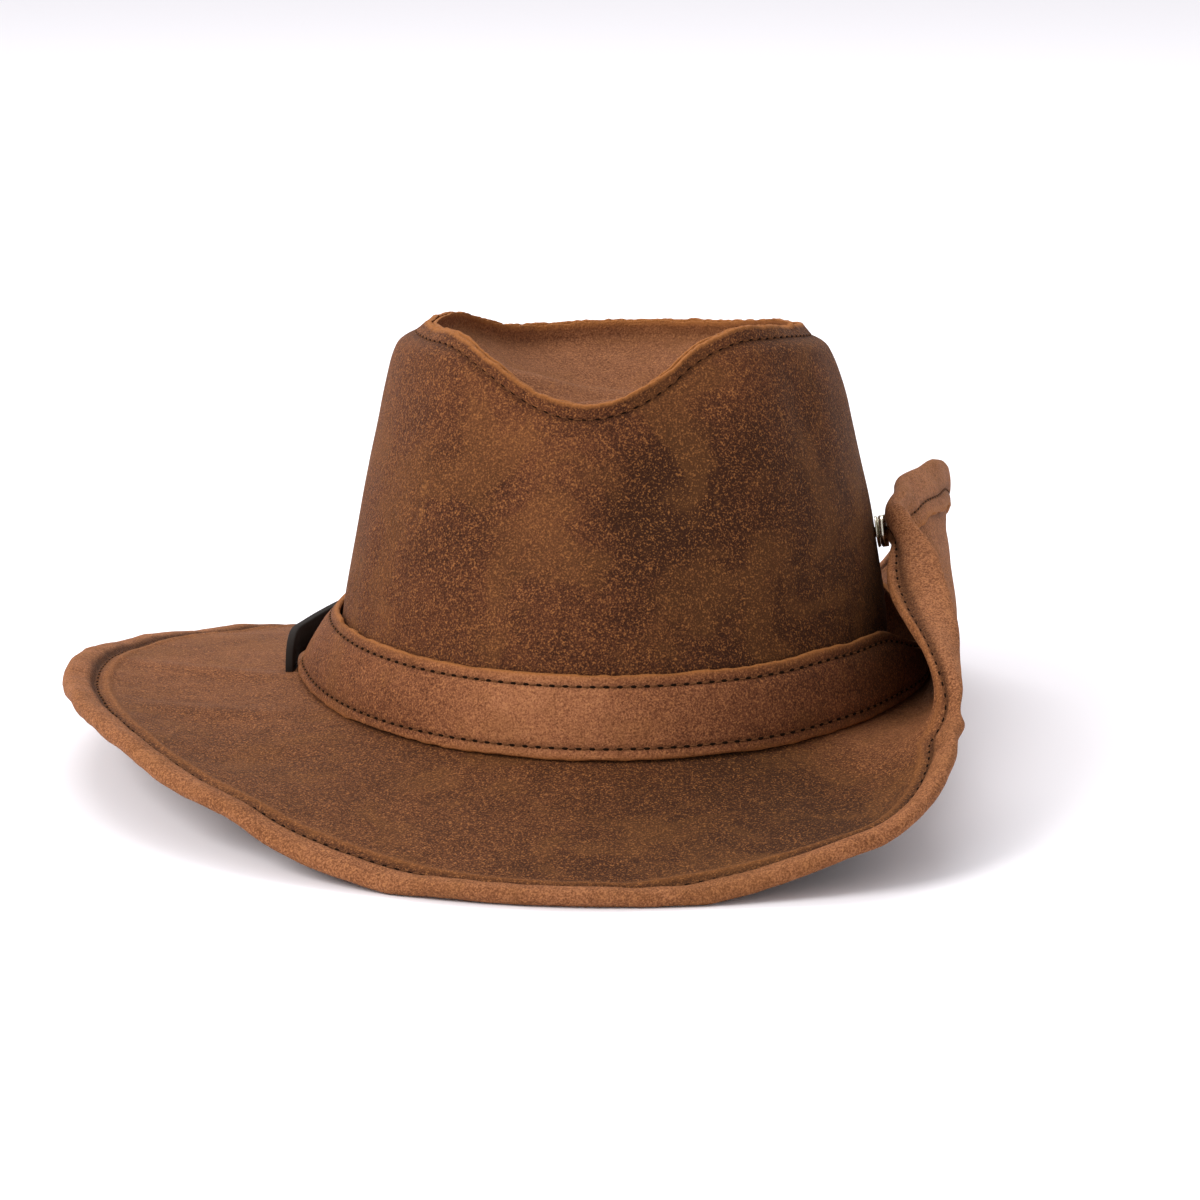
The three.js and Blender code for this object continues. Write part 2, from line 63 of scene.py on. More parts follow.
rim_ridge = 0.3
tip_height = 106.0
tip_dip = 24.0
tip_half_width = 65
tip_half_length = 70

# Brim sizes
brim_width = 80.0
brim_drop = 23.5
brim_leather = 2.0
hem_width = 15.0
hem_seam = 10.5
hem_roll = 2.8
hem_fullness = 2.6
hem_puff = 0.95
hem_groove = 0.9
hem_ridge = 0.55
hem_under_puff = 0.7
hem_under_groove = 0.6
hem_ring_out = 60.0
flare_width = 18.0
flare_bend = 1.6

# Band sizes
band_width = 24.5
band_leather = 2.2
band_bow = 1.0
band_seam = 3.2
band_groove = 0.5

# Chin strap sizes
strap_width = 9.0
strap_thickness = 2.6
strap_end = 13.0
strap_rounding = 0.5

# Press snap sizes
snap_inset = 12.0
snap_radius = 5.0
snap_cap_radius = 6.5
snap_cap_thickness = 1.6
snap_shank_radius = 1.6
snap_stud_radius = 2.0
snap_stud_height = 1.3
snap_flange = 0.8
snap_spread = 13.0

# The gap left between pieces that touch
gap = 0.3

# Places along the snap's axis, from the outer face of the crown's wall
flange_face = gap + snap_flange
stud_top = flange_face + snap_stud_height
socket_face = flange_face + gap
socket_back = stud_top + gap + snap_flange
brim_face = socket_back + gap
cap_face = brim_face + 2 * brim_leather + gap

# Stitch sizes
stitch_pitch = 4.0
stitch_length = 2.5
stitch_radius = 0.29
stitch_lift = 0.06
stitch_arch = 0.5
stitch_wobble = 0.18
hole_length = 1.9
hole_radius = 0.48
hole_lift = -0.22
hole_arch = 0.05

# How finely the pieces are built: points round the hat, and along each of the brim's lines
brim_points = 660
wall_points = 560
tip_points = 420
band_points = 720
line_points = 161

# The photo's view: how far the camera is turned and lifted in degrees, its distance, the photo's width and
# where the middle of the crown's foot shows in it
view_turn = 5
view_lift = 13
view_distance = 1500.0
photo_size = 1200
pixels_per_mm = 3.19
foot_pixel_x = 612
foot_pixel_y = 674
sensor_width = 36


def table(columns, *rows):
    """Rows of values, each value by the name of its column."""
    return [dict(zip(columns.split(), row)) for row in rows]


# Brim sections. Each is one cubic curve out from the foot of the crown, given by its near handle, its far
# handle and the brim's edge, outwards and upwards, in shares of the brim width.
brim_sections = table(
    "azimuth near_out near_up far_out far_up edge_out edge_up",
    [0, 0.49, -0.08, 0.08, 0.48, 0.02, 0.73],
    [15, 0.49, -0.08, 0.22, 0.48, 0.07, 0.72],
    [26, 0.46, -0.08, 0.36, 0.42, 0.23, 0.70],
    [36, 0.42, -0.08, 0.54, 0.30, 0.44, 0.68],
    [46, 0.38, -0.09, 0.69, 0.18, 0.68, 0.55],
    [55, 0.34, -0.10, 0.73, 0.02, 0.80, 0.26],
    [64, 0.32, -0.11, 0.70, -0.15, 0.94, -0.03],
    [76, 0.31, -0.11, 0.66, -0.21, 1.00, -0.22],
    [95, 0.31, -0.10, 0.65, -0.215, 1.00, -0.29],
    [120, 0.32, -0.08, 0.67, -0.195, 1.00, -0.27],
    [150, 0.34, -0.05, 0.70, -0.10, 1.02, -0.12],
    [180, 0.36, -0.03, 0.72, -0.05, 1.05, 0.04],
    [200, 0.36, -0.03, 0.72, -0.03, 1.04, 0.09],
    [215, 0.35, -0.05, 0.71, -0.06, 1.03, 0.07],
    [230, 0.33, -0.08, 0.69, -0.12, 1.00, -0.04],
    [248, 0.32, -0.10, 0.66, -0.19, 1.00, -0.21],
    [270, 0.31, -0.10, 0.65, -0.22, 1.01, -0.29],
    [288, 0.32, -0.10, 0.68, -0.21, 1.01, -0.21],
    [299, 0.34, -0.10, 0.72, -0.19, 1.01, -0.08],
    [304, 0.35, -0.11, 0.72, -0.18, 0.98, -0.03],
    [308, 0.36, -0.11, 0.70, -0.15, 0.91, 0.02],
    [312, 0.38, -0.11, 0.66, -0.09, 0.835, 0.07],
    [316, 0.41, -0.10, 0.63, 0.01, 0.735, 0.13],
    [321, 0.46, -0.09, 0.61, 0.15, 0.51, 0.245],
    [326, 0.50, -0.09, 0.59, 0.28, 0.26, 0.38],
    [337, 0.52, -0.09, 0.41, 0.41, -0.07, 0.52],
    [348, 0.53, -0.08, 0.18, 0.48, -0.13, 0.65],
)

# The sewn rim of the crown. Reach is a share of the crown's foot, height a share of the crown height,
# fullness says how late the wall turns inwards on its way up, and shoulder how far it rounds over just below
# the rim.
rim_sections = table(
    "azimuth reach height fullness shoulder",
    [0, 0.770, 0.99, 1.9, 0.055],
    [30, 0.755, 0.95, 1.8, 0.04],
    [60, 0.740, 0.90, 1.6, 0.02],
    [90, 0.735, 0.88, 1.5, 0.01],
    [130, 0.745, 0.89, 1.3, 0.02],
    [150, 0.760, 0.955, 1.3, 0.04],
    [180, 0.775, 0.99, 1.25, 0.065],
    [205, 0.755, 1.01, 1.3, 0.055],
    [226, 0.720, 1.01, 1.4, 0.02],
    [237, 0.700, 0.965, 1.5, 0.00],
    [249, 0.690, 0.90, 1.5, 0.00],
    [263, 0.700, 0.86, 1.5, 0.00],
    [278, 0.700, 0.875, 1.5, 0.00],
    [290, 0.690, 0.93, 1.5, 0.00],
    [301, 0.690, 1.00, 1.5, 0.01],
    [313, 0.710, 1.04, 1.6, 0.02],
    [330, 0.740, 1.035, 1.7, 0.04],
    [345, 0.760, 1.015, 1.8, 0.055],
)

# Dents in the wall of the crown. Height and tall are shares of the wall's height, depth is a share of the
# crown's half width, and wide is an angle. A negative depth stands out.
wall_dents = table(
    "azimuth height depth wide tall",
    [286, 0.74, 0.056, 12, 0.18],
    [297, 0.45, 0.030, 11, 0.20],
    [331, 0.84, 0.036, 7, 0.13],
    [310, 0.78, -0.018, 9, 0.18],
    [268, 0.50, -0.014, 12, 0.26],
    [250, 0.62, 0.020, 12, 0.22],
    [226, 0.74, -0.014, 10, 0.24],
    [122, 0.60, 0.024, 16, 0.22],
    [62, 0.58, 0.026, 16, 0.22],
)

# Creases in the dished top. Across and along are shares of the rim's reach to the right and to the back,
# lift is a share of the dip, and long and broad say how far each spreads to the sides and to front and back.
tip_creases = table(
    "across along lift long broad",
    [-0.25, 0.30, 0.24, 0.50, 0.10],
    [0.10, -0.12, 0.26, 0.45, 0.10],
    [0.25, 0.62, -0.18, 0.40, 0.12],
)

# The band. Foot is how far its lower edge stands out from the foot of the crown, lean how far its upper edge
# stands off the wall, and rise how tall it is there, all as shares of the band width.
band_sections = table(
    "azimuth foot lean rise",
    [5, 0.47, 0.36, 0.40],
    [16, 0.46, 0.36, 0.50],
    [26, 0.42, 0.30, 0.78],
    [44, 0.32, 0.18, 0.94],
    [70, 0.18, 0.04, 1.00],
    [100, 0.14, 0.02, 1.00],
    [140, 0.18, 0.02, 1.00],
    [158, 0.26, 0.02, 1.00],
    [170, 0.44, 0.03, 1.00],
    [180, 0.46, 0.03, 1.00],
    [192, 0.34, 0.02, 1.00],
    [220, 0.18, 0.02, 1.00],
    [255, 0.13, 0.02, 1.00],
    [300, 0.15, 0.02, 1.00],
    [330, 0.20, 0.04, 0.98],
    [345, 0.28, 0.10, 0.90],
    [356, 0.40, 0.26, 0.58],
)

# The chin strap's way from the left slit round the back of the crown to the right slit. Out is how far its
# middle stands out from the foot of the crown and up its height above the brim, as shares of the band width.
strap_route = table(
    "azimuth out up",
    [179, 0.64, 0],
    [179, 0.64, 0.08],
    [178.4, 0.64, 0.20],
    [177, 0.64, 0.28],
    [174.5, 0.64, 0.31],
    [171, 0.62, 0.31],
    [165, 0.58, 0.33],
    [158, 0.53, 0.37],
    [148, 0.58, 0.40],
    [134, 0.82, 0.36],
    [116, 1.10, 0.27],
    [95, 1.25, 0.23],
    [74, 1.22, 0.23],
    [56, 1.02, 0.25],
    [42, 0.82, 0.27],
    [31, 0.71, 0.28],
    [23, 0.67, 0.30],
    [18, 0.67, 0.28],
    [16.6, 0.67, 0.20],
    [16, 0.67, 0.08],
    [16, 0.67, 0],
)

# How far the hem flares out from the crown beside the snap and how far it sags, as shares of the brim width
hem_flares = table(
    "azimuth out sag",
    [4, 0, 0],
    [90, 0, 0],
    [200, 0, 0],
    [308, 0, 0],
    [314, 0.01, 0.00],
    [318, 0.05, 0.03],
    [321, 0.145, 0.07],
    [325, 0.28, 0.13],
    [329, 0.37, 0.15],
    [337, 0.46, 0.11],
    [343, 0.41, 0.06],
    [348, 0.33, 0.02],
    [353, 0.16, -0.02],
    [358, 0.02, 0],
)

# How worn or waxed the leather is round the brim, by azimuth, from 0 where it is dark to 1 where it is pale
brim_tones = {
    0: 0.84, 60: 0.62, 110: 0.55, 160: 0.56, 200: 0.49, 225: 0.39,
    250: 0.34, 285: 0.16, 302: 0.06, 322: 0.60, 345: 0.80,
}

# The crown's wall likewise, though its darker right front is partly painted shade
crown_tones = {
    0: 0.30, 60: 0.45, 120: 0.50, 180: 0.42, 230: 0.30,
    255: 0.30, 280: 0.28, 300: 0.20, 320: 0.18, 340: 0.26,
}

# Darker and lighter places on the crown's wall; the darker ones are painted shade in its dents and over its
# right front. Height and tall are shares of the wall's height.
crown_shades = table(
    "azimuth height shade wide tall",
    [288, 0.72, -0.34, 14, 0.17],
    [300, 0.42, -0.10, 14, 0.22],
    [335, 0.40, -0.14, 22, 0.40],
    [245, 0.93, 0.26, 26, 0.12],
    [308, 0.95, 0.26, 20, 0.12],
    [262, 0.72, 0.10, 14, 0.14],
    [222, 0.20, 0.12, 20, 0.22],
)

# The band likewise
band_tones = {
    0: 0.40, 60: 0.55, 150: 0.55, 200: 0.36, 230: 0.48,
    262: 0.74, 290: 0.50, 320: 0.26, 345: 0.22,
}

# Folds that run across the brim. Each is highest at an azimuth and a share of the way out, and spread is its
# half width in millimetres. They slant, and they die away over a share of the way out.
brim_folds = table(
    "azimuth start height spread",
    [203, 0.52, 1.8, 9],
    [222, 0.60, -1.2, 11],
    [181, 0.50, 2.0, 8],
)
fold_mm_per_degree = 2.6
fold_slant = 26
fold_length = 0.28

# Unevenness by place: the sizes and the heights of its waves, and a number that picks their pattern
unevenness = {
    "hem edge": ((22, 6, 2.2), (0.6, 0.35, 0.3), 11),
    "brim": ((46, 21, 9), (1.0, 0.5, 0.2), 31),
    "brim edge": ((7, 3.2), (0.35, 0.16), 51),
    "wall": ((52, 24, 10), (0.8, 0.4, 0.15), 71),
    "wall edge": ((17, 5, 2), (0.35, 0.25, 0.25), 81),
    "tip edge": ((15, 5, 2), (0.35, 0.25, 0.25), 85),
    "tip": ((30, 13, 6), (1.1, 0.6, 0.25), 91),
    "band top": ((30, 9, 3), (0.35, 0.30, 0.25), 101),
    "band foot": ((26, 8, 3), (0.25, 0.25, 0.20), 105),
    "band": ((28, 12), (0.35, 0.2), 111),
}

# Lights: places in metres, widths and heights, watts and colours
lights = table(
    "name position size power colour",
    ["key", (-1.5, -1.1, 1.5), (1.1, 1.1), 40, (1.0, 0.985, 0.97)],
    ["over", (-0.2, 0.9, 1.6), (1.4, 0.8), 16, (1.0, 1.0, 1.0)],
)


# Ways to measure


def hermite(t, start, end, leaving, arriving):
    """A smooth stretch from start to end, given how fast it leaves and arrives."""
    near = start * (1 + 2 * t) * (1 - t) ** 2 + leaving * t * (1 - t) ** 2
    return near + (end * t * t * (3 - 2 * t) - arriving * t * t * (1 - t))


def closed_curve(stops):
    """A smooth closed curve through values listed by their azimuth."""
    at = np.array(list(stops), float)
    value = np.array(list(stops.values()), float)
    span = np.diff(np.append(at, at[0] + 360))
    rate = (np.roll(value, -1) - value) / span
    before = np.roll(rate, 1)
    slope = (before * span + rate * np.roll(span, 1)) / (span + np.roll(span, 1))

    def curve(azimuth):
        turned = np.mod(np.asarray(azimuth, float) - at[0], 360) + at[0]
        i = np.clip(np.searchsorted(at, turned, side="right") - 1, 0, len(at) - 1)
        j = (i + 1) % len(at)
        t = (turned - at[i]) / span[i]
        return hermite(t, value[i], value[j], slope[i] * span[i], slope[j] * span[i])

    return curve


def closed_curves(rows):
    """A closed curve through each column of a table."""
    names = [name for name in rows[0] if name != "azimuth"]
    return {name: closed_curve({row["azimuth"]: row[name] for row in rows}) for name in names}


brim_at = closed_curves(brim_sections)
rim_at = closed_curves(rim_sections)
band_at = closed_curves(band_sections)
flare_at = closed_curves(hem_flares)
brim_tone = closed_curve(brim_tones)
crown_tone = closed_curve(crown_tones)
band_tone = closed_curve(band_tones)


def bell(offset, spread):
    return np.exp(-((offset / spread) ** 2))


def blend(low, high, value):
    t = np.clip((value - low) / (high - low), 0, 1)
    return t * t * (3 - 2 * t)


def turn_between(a, b):
    return np.mod(a - b + 180, 360) - 180


def foot_normal(azimuth):
    angle = np.radians(azimuth)
    x = crown_half_length * np.cos(angle)
    y = crown_half_width * np.sin(angle)
    length = np.hypot(x, y)
    return np.stack([x / length, y / length, np.zeros_like(x)], -1)


def foot_point(azimuth, out, up):
    """A place by azimuth, distance out from the foot of the crown and height above it."""
    azimuth, out, up = np.broadcast_arrays(np.asarray(azimuth, float), out, up)
    angle = np.radians(azimuth)
    normal = foot_normal(azimuth)
    x = crown_half_width * np.cos(angle) + out * normal[..., 0]
    y = crown_half_length * np.sin(angle) + out * normal[..., 1]
    return np.stack([x, y, up], -1)


def lattice_noise(points, size, pattern):
    """Smooth noise from -1 to 1, with features of about the given size. Large primes scatter its values."""
    cell = points / size
    base = np.floor(cell).astype(np.int64)
    part = cell - base
    ease = part**3 * (part * (part * 6 - 15) + 10)
    total = np.zeros(points.shape[:-1])
    for corner in itertools.product((0, 1), repeat=3):
        key = pattern * 2654435
        weight = 1.0
        for axis, side in enumerate(corner):
            key = key ^ ((base[..., axis] + side) * (73856093, 19349663, 83492791)[axis])
            weight = weight * (ease[..., axis] if side else 1 - ease[..., axis])
        key = (key ^ (key >> 13)) * 1274126177
        total += (((key ^ (key >> 16)) & 65535) / 32767.5 - 1) * weight
    return total


def rough(points, place):
    """Several sizes of noise added up, as listed for a place."""
    sizes, heights, pattern = unevenness[place]
    total = np.zeros(points.shape[:-1])
    for index, (size, height) in enumerate(zip(sizes, heights)):
        total += height * lattice_noise(points, size, pattern + index)
    return total


# The crown's wall


def wall_point(azimuth, share, inward=0.0):
    azimuth, share, inward = np.broadcast_arrays(np.asarray(azimuth, float), share, inward)
    upward = np.minimum(share, 1)
    scale = 1 - (1 - rim_at["reach"](azimuth)) * upward ** rim_at["fullness"](azimuth)
    shoulder = rim_at["shoulder"](azimuth)
    above = (share - upward) * crown_height
    scale = scale - shoulder * (upward**shoulder_power + allowance_lean * above / seam_allowance)
    height = rim_at["height"](azimuth) * crown_height
    depth = inward.copy()
    fade = np.sqrt(np.maximum(np.sin(np.pi * upward), 0))
    for dent in wall_dents:
        sideways = bell(turn_between(azimuth, dent["azimuth"]), dent["wide"])
        upright = bell(upward - dent["height"], dent["tall"])
        depth += dent["depth"] * crown_half_width * sideways * upright * fade
    angle = np.radians(azimuth)
    normal = foot_normal(azimuth)
    x = crown_half_width * np.cos(angle) * scale - depth * normal[..., 0]
    y = crown_half_length * np.sin(angle) * scale - depth * normal[..., 1]
    return np.stack([x, y, height * upward + above * (1 - allowance_droop * shoulder)], -1)


def wall_out(azimuth, height):
    """How far the wall's outer face stands out from the crown's foot at a height."""
    share = height / (rim_at["height"](azimuth) * crown_height)
    away = wall_point(azimuth, share) - foot_point(azimuth, 0.0, 0.0)
    return np.sum(away * foot_normal(azimuth), -1)


# The brim


def brim_lines(azimuth):
    """The brim's upper face along each azimuth: distance run along it, and places outwards and upwards."""
    t = np.linspace(0, 1, line_points)[None, :, None]
    handles = []
    for name in ("near", "far", "edge"):
        pair = [brim_at[name + "_out"](azimuth), brim_at[name + "_up"](azimuth)]
        handles.append(np.stack(pair, -1)[:, None, :] * brim_width)
    near, far, edge = handles
    line = 3 * (1 - t) ** 2 * t * near + 3 * (1 - t) * t**2 * far + t**3 * edge
    step = np.linalg.norm(np.diff(line, axis=1), axis=2)
    run = np.concatenate([np.zeros((len(line), 1)), np.cumsum(step, axis=1)], axis=1)
    return run, line


def snap_seat():
    """Where the snap holds the brim: its height, the wall's face and lean there, and the brim's face."""
    run, line = brim_lines(np.array([0.0]))
    up = float(np.interp(run[0, -1] - snap_inset, run[0], line[0, :, 1]))
    out = float(wall_out(0.0, up))
    below = float(wall_out(0.0, up - snap_radius))
    above = float(wall_out(0.0, up + snap_radius))
    lean = math.atan((below - above) / (2 * snap_radius))
    brim_out = out + brim_face / math.cos(lean)
    return {"up": up, "out": out, "lean": lean, "brim_out": brim_out}


seat = snap_seat()


def brim_place(azimuth, along, off):
    """Places on the brim by azimuth, distance along its upper face and height off that face."""
    run, line = brim_lines(azimuth)
    slope = np.gradient(line, axis=1) / np.maximum(np.gradient(run, axis=1), 1e-9)[..., None]
    known = np.concatenate([line, slope], axis=2)
    found = np.empty((4,) + along.shape)
    for column, i in itertools.product(range(4), range(len(azimuth))):
        found[column, i] = np.interp(along[i], run[i], known[i, :, column])
    out, up, run_out, run_up = found
    around = np.repeat(azimuth[:, None], along.shape[1], axis=1)
    flare_out = flare_at["out"](around) * brim_width
    flare_up = -flare_at["sag"](around) * brim_width
    flare_run = np.clip(1 - (run[:, -1:] - along) / flare_width, 0, 1)
    out = out + flare_out * flare_run**flare_bend
    up = up + flare_up * flare_run**flare_bend
    flare_slope = flare_bend * flare_run ** (flare_bend - 1) / flare_width
    run_out = run_out + flare_out * flare_slope
    run_up = run_up + flare_up * flare_slope
    length = np.hypot(run_out, run_up)
    run_out = run_out / length
    run_up = run_up / length
    # The turned-up side is drawn flat against the snap
    sideways = foot_point(around, out, 0.0)[..., 1]
    drawn = bell(np.hypot(up - seat["up"], sideways), snap_spread)
    drawn = np.where((around > 90) & (around < 270), 0, drawn)
    flat_out = seat["brim_out"] - (up - seat["up"]) * math.tan(seat["lean"])
    run_out = run_out * (1 - drawn) - math.sin(seat["lean"]) * drawn
    run_up = run_up * (1 - drawn) + math.cos(seat["lean"]) * drawn
    size = np.hypot(run_out, run_up)
    out = out * (1 - drawn) + flat_out * drawn - off * run_up / size
    lowest = -brim_drop + np.maximum(off + 2 * brim_leather, 0)
    up = np.maximum(up + off * run_out / size, lowest)
    return foot_point(around, out, up)


def brim_lengths(azimuth):
    return brim_lines(azimuth)[0][:, -1]


def brim_height(azimuth, out):
    """The height of the brim's upper face at a distance out from the foot of the crown."""
    run, line = brim_lines(azimuth)
    found = np.empty(len(azimuth))
    for i in range(len(azimuth)):
        last = int(np.argmax(line[i, :, 0])) + 1
        found[i] = np.interp(out[i], line[i, :last, 0], line[i, :last, 1])
    return found


# Ways to build meshes

low, high = [np.array(corner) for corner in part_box("crown_side")]
foot_centre = (low + high) / 2
foot_centre[2] = low[2] - gap / 1000


def to_metres(points):
    return np.asarray(points) / 1000 + foot_centre


def put_in_scene(name, data):
    item = bpy.data.objects.new(name, data)
    bpy.context.scene.collection.objects.link(item)
    return item


def new_piece(name, points, faces, material, replaced=(), marks=None):
    """A mesh object that rides on the hat. Marks are values kept on its points for its material."""
    mesh = bpy.data.meshes.new(name)
    mesh.from_pydata(to_metres(points).tolist(), [], faces)
    mesh.polygons.foreach_set("use_smooth", [True] * len(mesh.polygons))
    for mark, values in (marks or {}).items():
        attribute = mesh.attributes.new(mark, "FLOAT", "POINT")
        attribute.data.foreach_set("value", np.asarray(values, np.float32).ravel())
    mesh.materials.append(material)
    mesh.update()
    piece = put_in_scene(name, mesh)
    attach(piece, "root")
    if replaced:
        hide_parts(*replaced)
    return piece


def signed_volume(points, faces):
    """Below zero where the faces look inwards."""
    a, b, c, d = [points[faces[:, corner]] for corner in range(4)]
    return np.einsum("ij,ij->", a, np.cross(b, c)) + np.einsum("ij,ij->", a, np.cross(c, d))


def grid_faces(around, across, closed_around=True, closed_across=True):
    """Four-sided faces over a grid of points."""
    i = np.arange(around if closed_around else around - 1)
    j = np.arange(across if closed_across else across - 1)
    i, j = [grid.ravel() for grid in np.meshgrid(i, j, indexing="ij")]
    here, there = i * across, ((i + 1) % around) * across
    beside = (j + 1) % across
    return np.stack([here + j, there + j, there + beside, here + beside], -1)


def body_piece(name, grid, material, marks=None, closed_around=True, closed_across=True, capped=True):
    """A body from a grid of points round the hat and its section. It replaces the node it is named for."""
    around, across = grid.shape[:2]
    points = grid.reshape(-1, 3)
    faces = grid_faces(around, across, closed_around, closed_across)
    number = np.arange(len(points)).reshape(around, across)
    caps = []
    if not closed_around:
        caps = [number[0], number[-1][::-1]]
    elif capped and not closed_across:
        caps = [number[:, 0][::-1], number[:, -1]]
    if signed_volume(points, faces) < 0:
        faces = faces[:, ::-1]
        caps = [cap[::-1] for cap in caps]
    new_piece(name, points, faces.tolist() + [cap.tolist() for cap in caps], material, (name,), marks)


def side_by_side(*lists):
    return [np.concatenate(columns, axis=1) for columns in lists]


def even_azimuths(count, crowding=12.0):
    """Azimuths round the hat, a little closer together at its turned-up side."""
    even = np.arange(count) * 360 / count
    return even - crowding * np.sin(np.radians(even))


# Materials

# Colours of raw edges, of flecks and scratches, and of amber patches
raw_colour = (0.34, 0.125, 0.034)
fleck_colour = (0.40, 0.160, 0.045)
amber_colour = (0.185, 0.072, 0.019)


def new_material(name):
    """A material, its nodes, its links and its shader."""
    material = bpy.data.materials.new(name)
    material.use_nodes = True
    nodes = material.node_tree.nodes
    return material, nodes, material.node_tree.links, nodes["Principled BSDF"]


def fill(node, values):
    """Sets constant values on a node's own sockets."""
    for socket, value in values.items():
        node.inputs[socket].default_value = value


def leather(name, colours, fleck_part=0.55):
    """Waxed leather with a nap, in colours from the darkest to the palest. The points of a mesh carry a
    tone, how far they belong to a raw edge, and how much painted shade darkens them in grooves and folds."""
    material, nodes, links, shader = new_material(name)
    fill(shader, {"Roughness": 0.78, "Specular IOR Level": 0.12})
    fill(shader, {"Sheen Weight": 0.05, "Sheen Roughness": 0.4, "Sheen Tint": (1.0, 0.55, 0.28, 1)})
    place = nodes.new("ShaderNodeTexCoord")

    def noise(size_mm, detail, distortion=0.0, stretch=None):
        node = nodes.new("ShaderNodeTexNoise")
        fill(node, {"Scale": 1000 / size_mm, "Detail": detail, "Roughness": 0.62, "Distortion": distortion})
        vector = place.outputs["Object"]
        if stretch:
            mapping = nodes.new("ShaderNodeMapping")
            fill(mapping, {"Rotation": (0.3, 0.5, 0.9), "Scale": stretch})
            links.new(vector, mapping.inputs["Vector"])
            vector = mapping.outputs["Vector"]
        links.new(vector, node.inputs["Vector"])
        return node.outputs["Fac"]

    def ramp(value, low, high):
        node = nodes.new("ShaderNodeMapRange")
        node.interpolation_type = "SMOOTHSTEP"
        fill(node, {"From Min": low, "From Max": high})
        links.new(value, node.inputs["Value"])
        return node.outputs["Result"]

    def combined(operation, first, second):
        node = nodes.new("ShaderNodeMath")
        node.operation = operation
        for socket, value in zip(node.inputs, (first, second)):
            if isinstance(value, (int, float)):
                socket.default_value = value
            else:
                links.new(value, socket)
        return node.outputs["Value"]

    def times(first, second):
        return combined("MULTIPLY", first, second)

    def summed(*parts):
        """Adds up values, each with its weight and the level at which it adds nothing."""
        total = None
        for value, weight, level in parts:
            node = nodes.new("ShaderNodeMath")
            node.operation = "MULTIPLY_ADD"
            fill(node, {1: weight, 2: -weight * level})
            links.new(value, node.inputs[0])
            part = node.outputs["Value"]
            total = part if total is None else combined("ADD", total, part)
        return total

    def mixed(factor, first, second):
        node = nodes.new("ShaderNodeMix")
        node.data_type = "RGBA"
        links.new(factor, node.inputs["Factor"])
        for socket, colour in ((node.inputs[6], first), (node.inputs[7], second)):
            if isinstance(colour, tuple):
                socket.default_value = (*colour, 1)
            else:
                links.new(colour, socket)
        return node.outputs[2]

    def mark(attribute):
        node = nodes.new("ShaderNodeAttribute")
        node.attribute_name = attribute
        return node.outputs["Fac"]

    cloudy = noise(42, 4, 0.5)
    patchy = noise(8, 5, 0.4)
    fine = noise(1.25, 3)
    grain = noise(0.55, 2)
    scratch = noise(7, 2, 0.2, (1.0, 1.0, 0.03))
    textures = ((cloudy, 0.30, 0.5), (patchy, 0.42, 0.5), (fine, 0.6, 0.5), (grain, 1.5, 0.5))
    tone = summed((mark("tone"), 1.0, 0.0), *textures)
    shades = nodes.new("ShaderNodeValToRGB")
    stops = shades.color_ramp.elements
    levels = (0.05, 0.40, 0.75, 1.0)
    for level in levels[1:3]:
        stops.new(level)
    for stop, level, colour in zip(stops, levels, colours):
        stop.position = level
        stop.color = (*colour, 1)
    links.new(tone, shades.inputs["Fac"])
    specks = times(ramp(grain, 0.50, 0.66), ramp(fine, 0.36, 0.58))
    colour = mixed(times(specks, fleck_part), shades.outputs["Color"], fleck_colour)
    scratches = times(ramp(scratch, 0.69, 0.74), ramp(fine, 0.45, 0.60))
    colour = mixed(times(scratches, 0.22), colour, fleck_colour)
    colour = mixed(times(ramp(noise(26, 3, 0.6), 0.48, 0.64), 0.24), colour, amber_colour)
    raw_part = times(mark("raw"), ramp(noise(1.2, 3), 0.22, 0.45))
    colour = mixed(raw_part, colour, raw_colour)
    # Painted shade: the darkest colour made darker still, laid on grooves and folds as far as the points'
    # mark says
    painted_shade_colour = tuple(part * 0.35 for part in colours[0])
    colour = mixed(times(mark("painted_shade"), 0.8), colour, painted_shade_colour)
    links.new(colour, shader.inputs["Base Color"])

    height = summed((grain, 0.8, 0.5), (fine, 1.1, 0.5), (patchy, 1.3, 0.5))
    fuzz = times(mark("raw"), noise(0.8, 3))
    height = combined("ADD", height, times(fuzz, 2.0))
    bump = nodes.new("ShaderNodeBump")
    fill(bump, {"Strength": 0.8, "Distance": 0.0006})
    links.new(height, bump.inputs["Height"])
    links.new(bump.outputs["Normal"], shader.inputs["Normal"])
    return material


def plain_finish(name, colour, roughness, size_mm, bump_mm, metal=0.0, shine=0.5):
    """A hard or smooth finish with a little wear in its colour and its surface."""
    material, nodes, links, shader = new_material(name)
    fill(shader, {"Metallic": metal, "Specular IOR Level": shine})
    place = nodes.new("ShaderNodeTexCoord")
    texture = nodes.new("ShaderNodeTexNoise")
    fill(texture, {"Scale": 1000 / size_mm, "Detail": 4})
    links.new(place.outputs["Object"], texture.inputs["Vector"])
    mix = nodes.new("ShaderNodeMix")
    mix.data_type = "RGBA"
    fill(mix, {6: (*[part * 0.65 for part in colour], 1), 7: (*colour, 1)})
    links.new(texture.outputs["Fac"], mix.inputs["Factor"])
    links.new(mix.outputs[2], shader.inputs["Base Color"])
    polish = nodes.new("ShaderNodeMapRange")
    fill(polish, {"To Min": roughness - 0.08, "To Max": roughness + 0.12})
    links.new(texture.outputs["Fac"], polish.inputs["Value"])
    links.new(polish.outputs["Result"], shader.inputs["Roughness"])
    bump = nodes.new("ShaderNodeBump")
    fill(bump, {"Strength": 0.5, "Distance": bump_mm / 1000})
    links.new(texture.outputs["Fac"], bump.inputs["Height"])
    links.new(bump.outputs["Normal"], shader.inputs["Normal"])
    return material


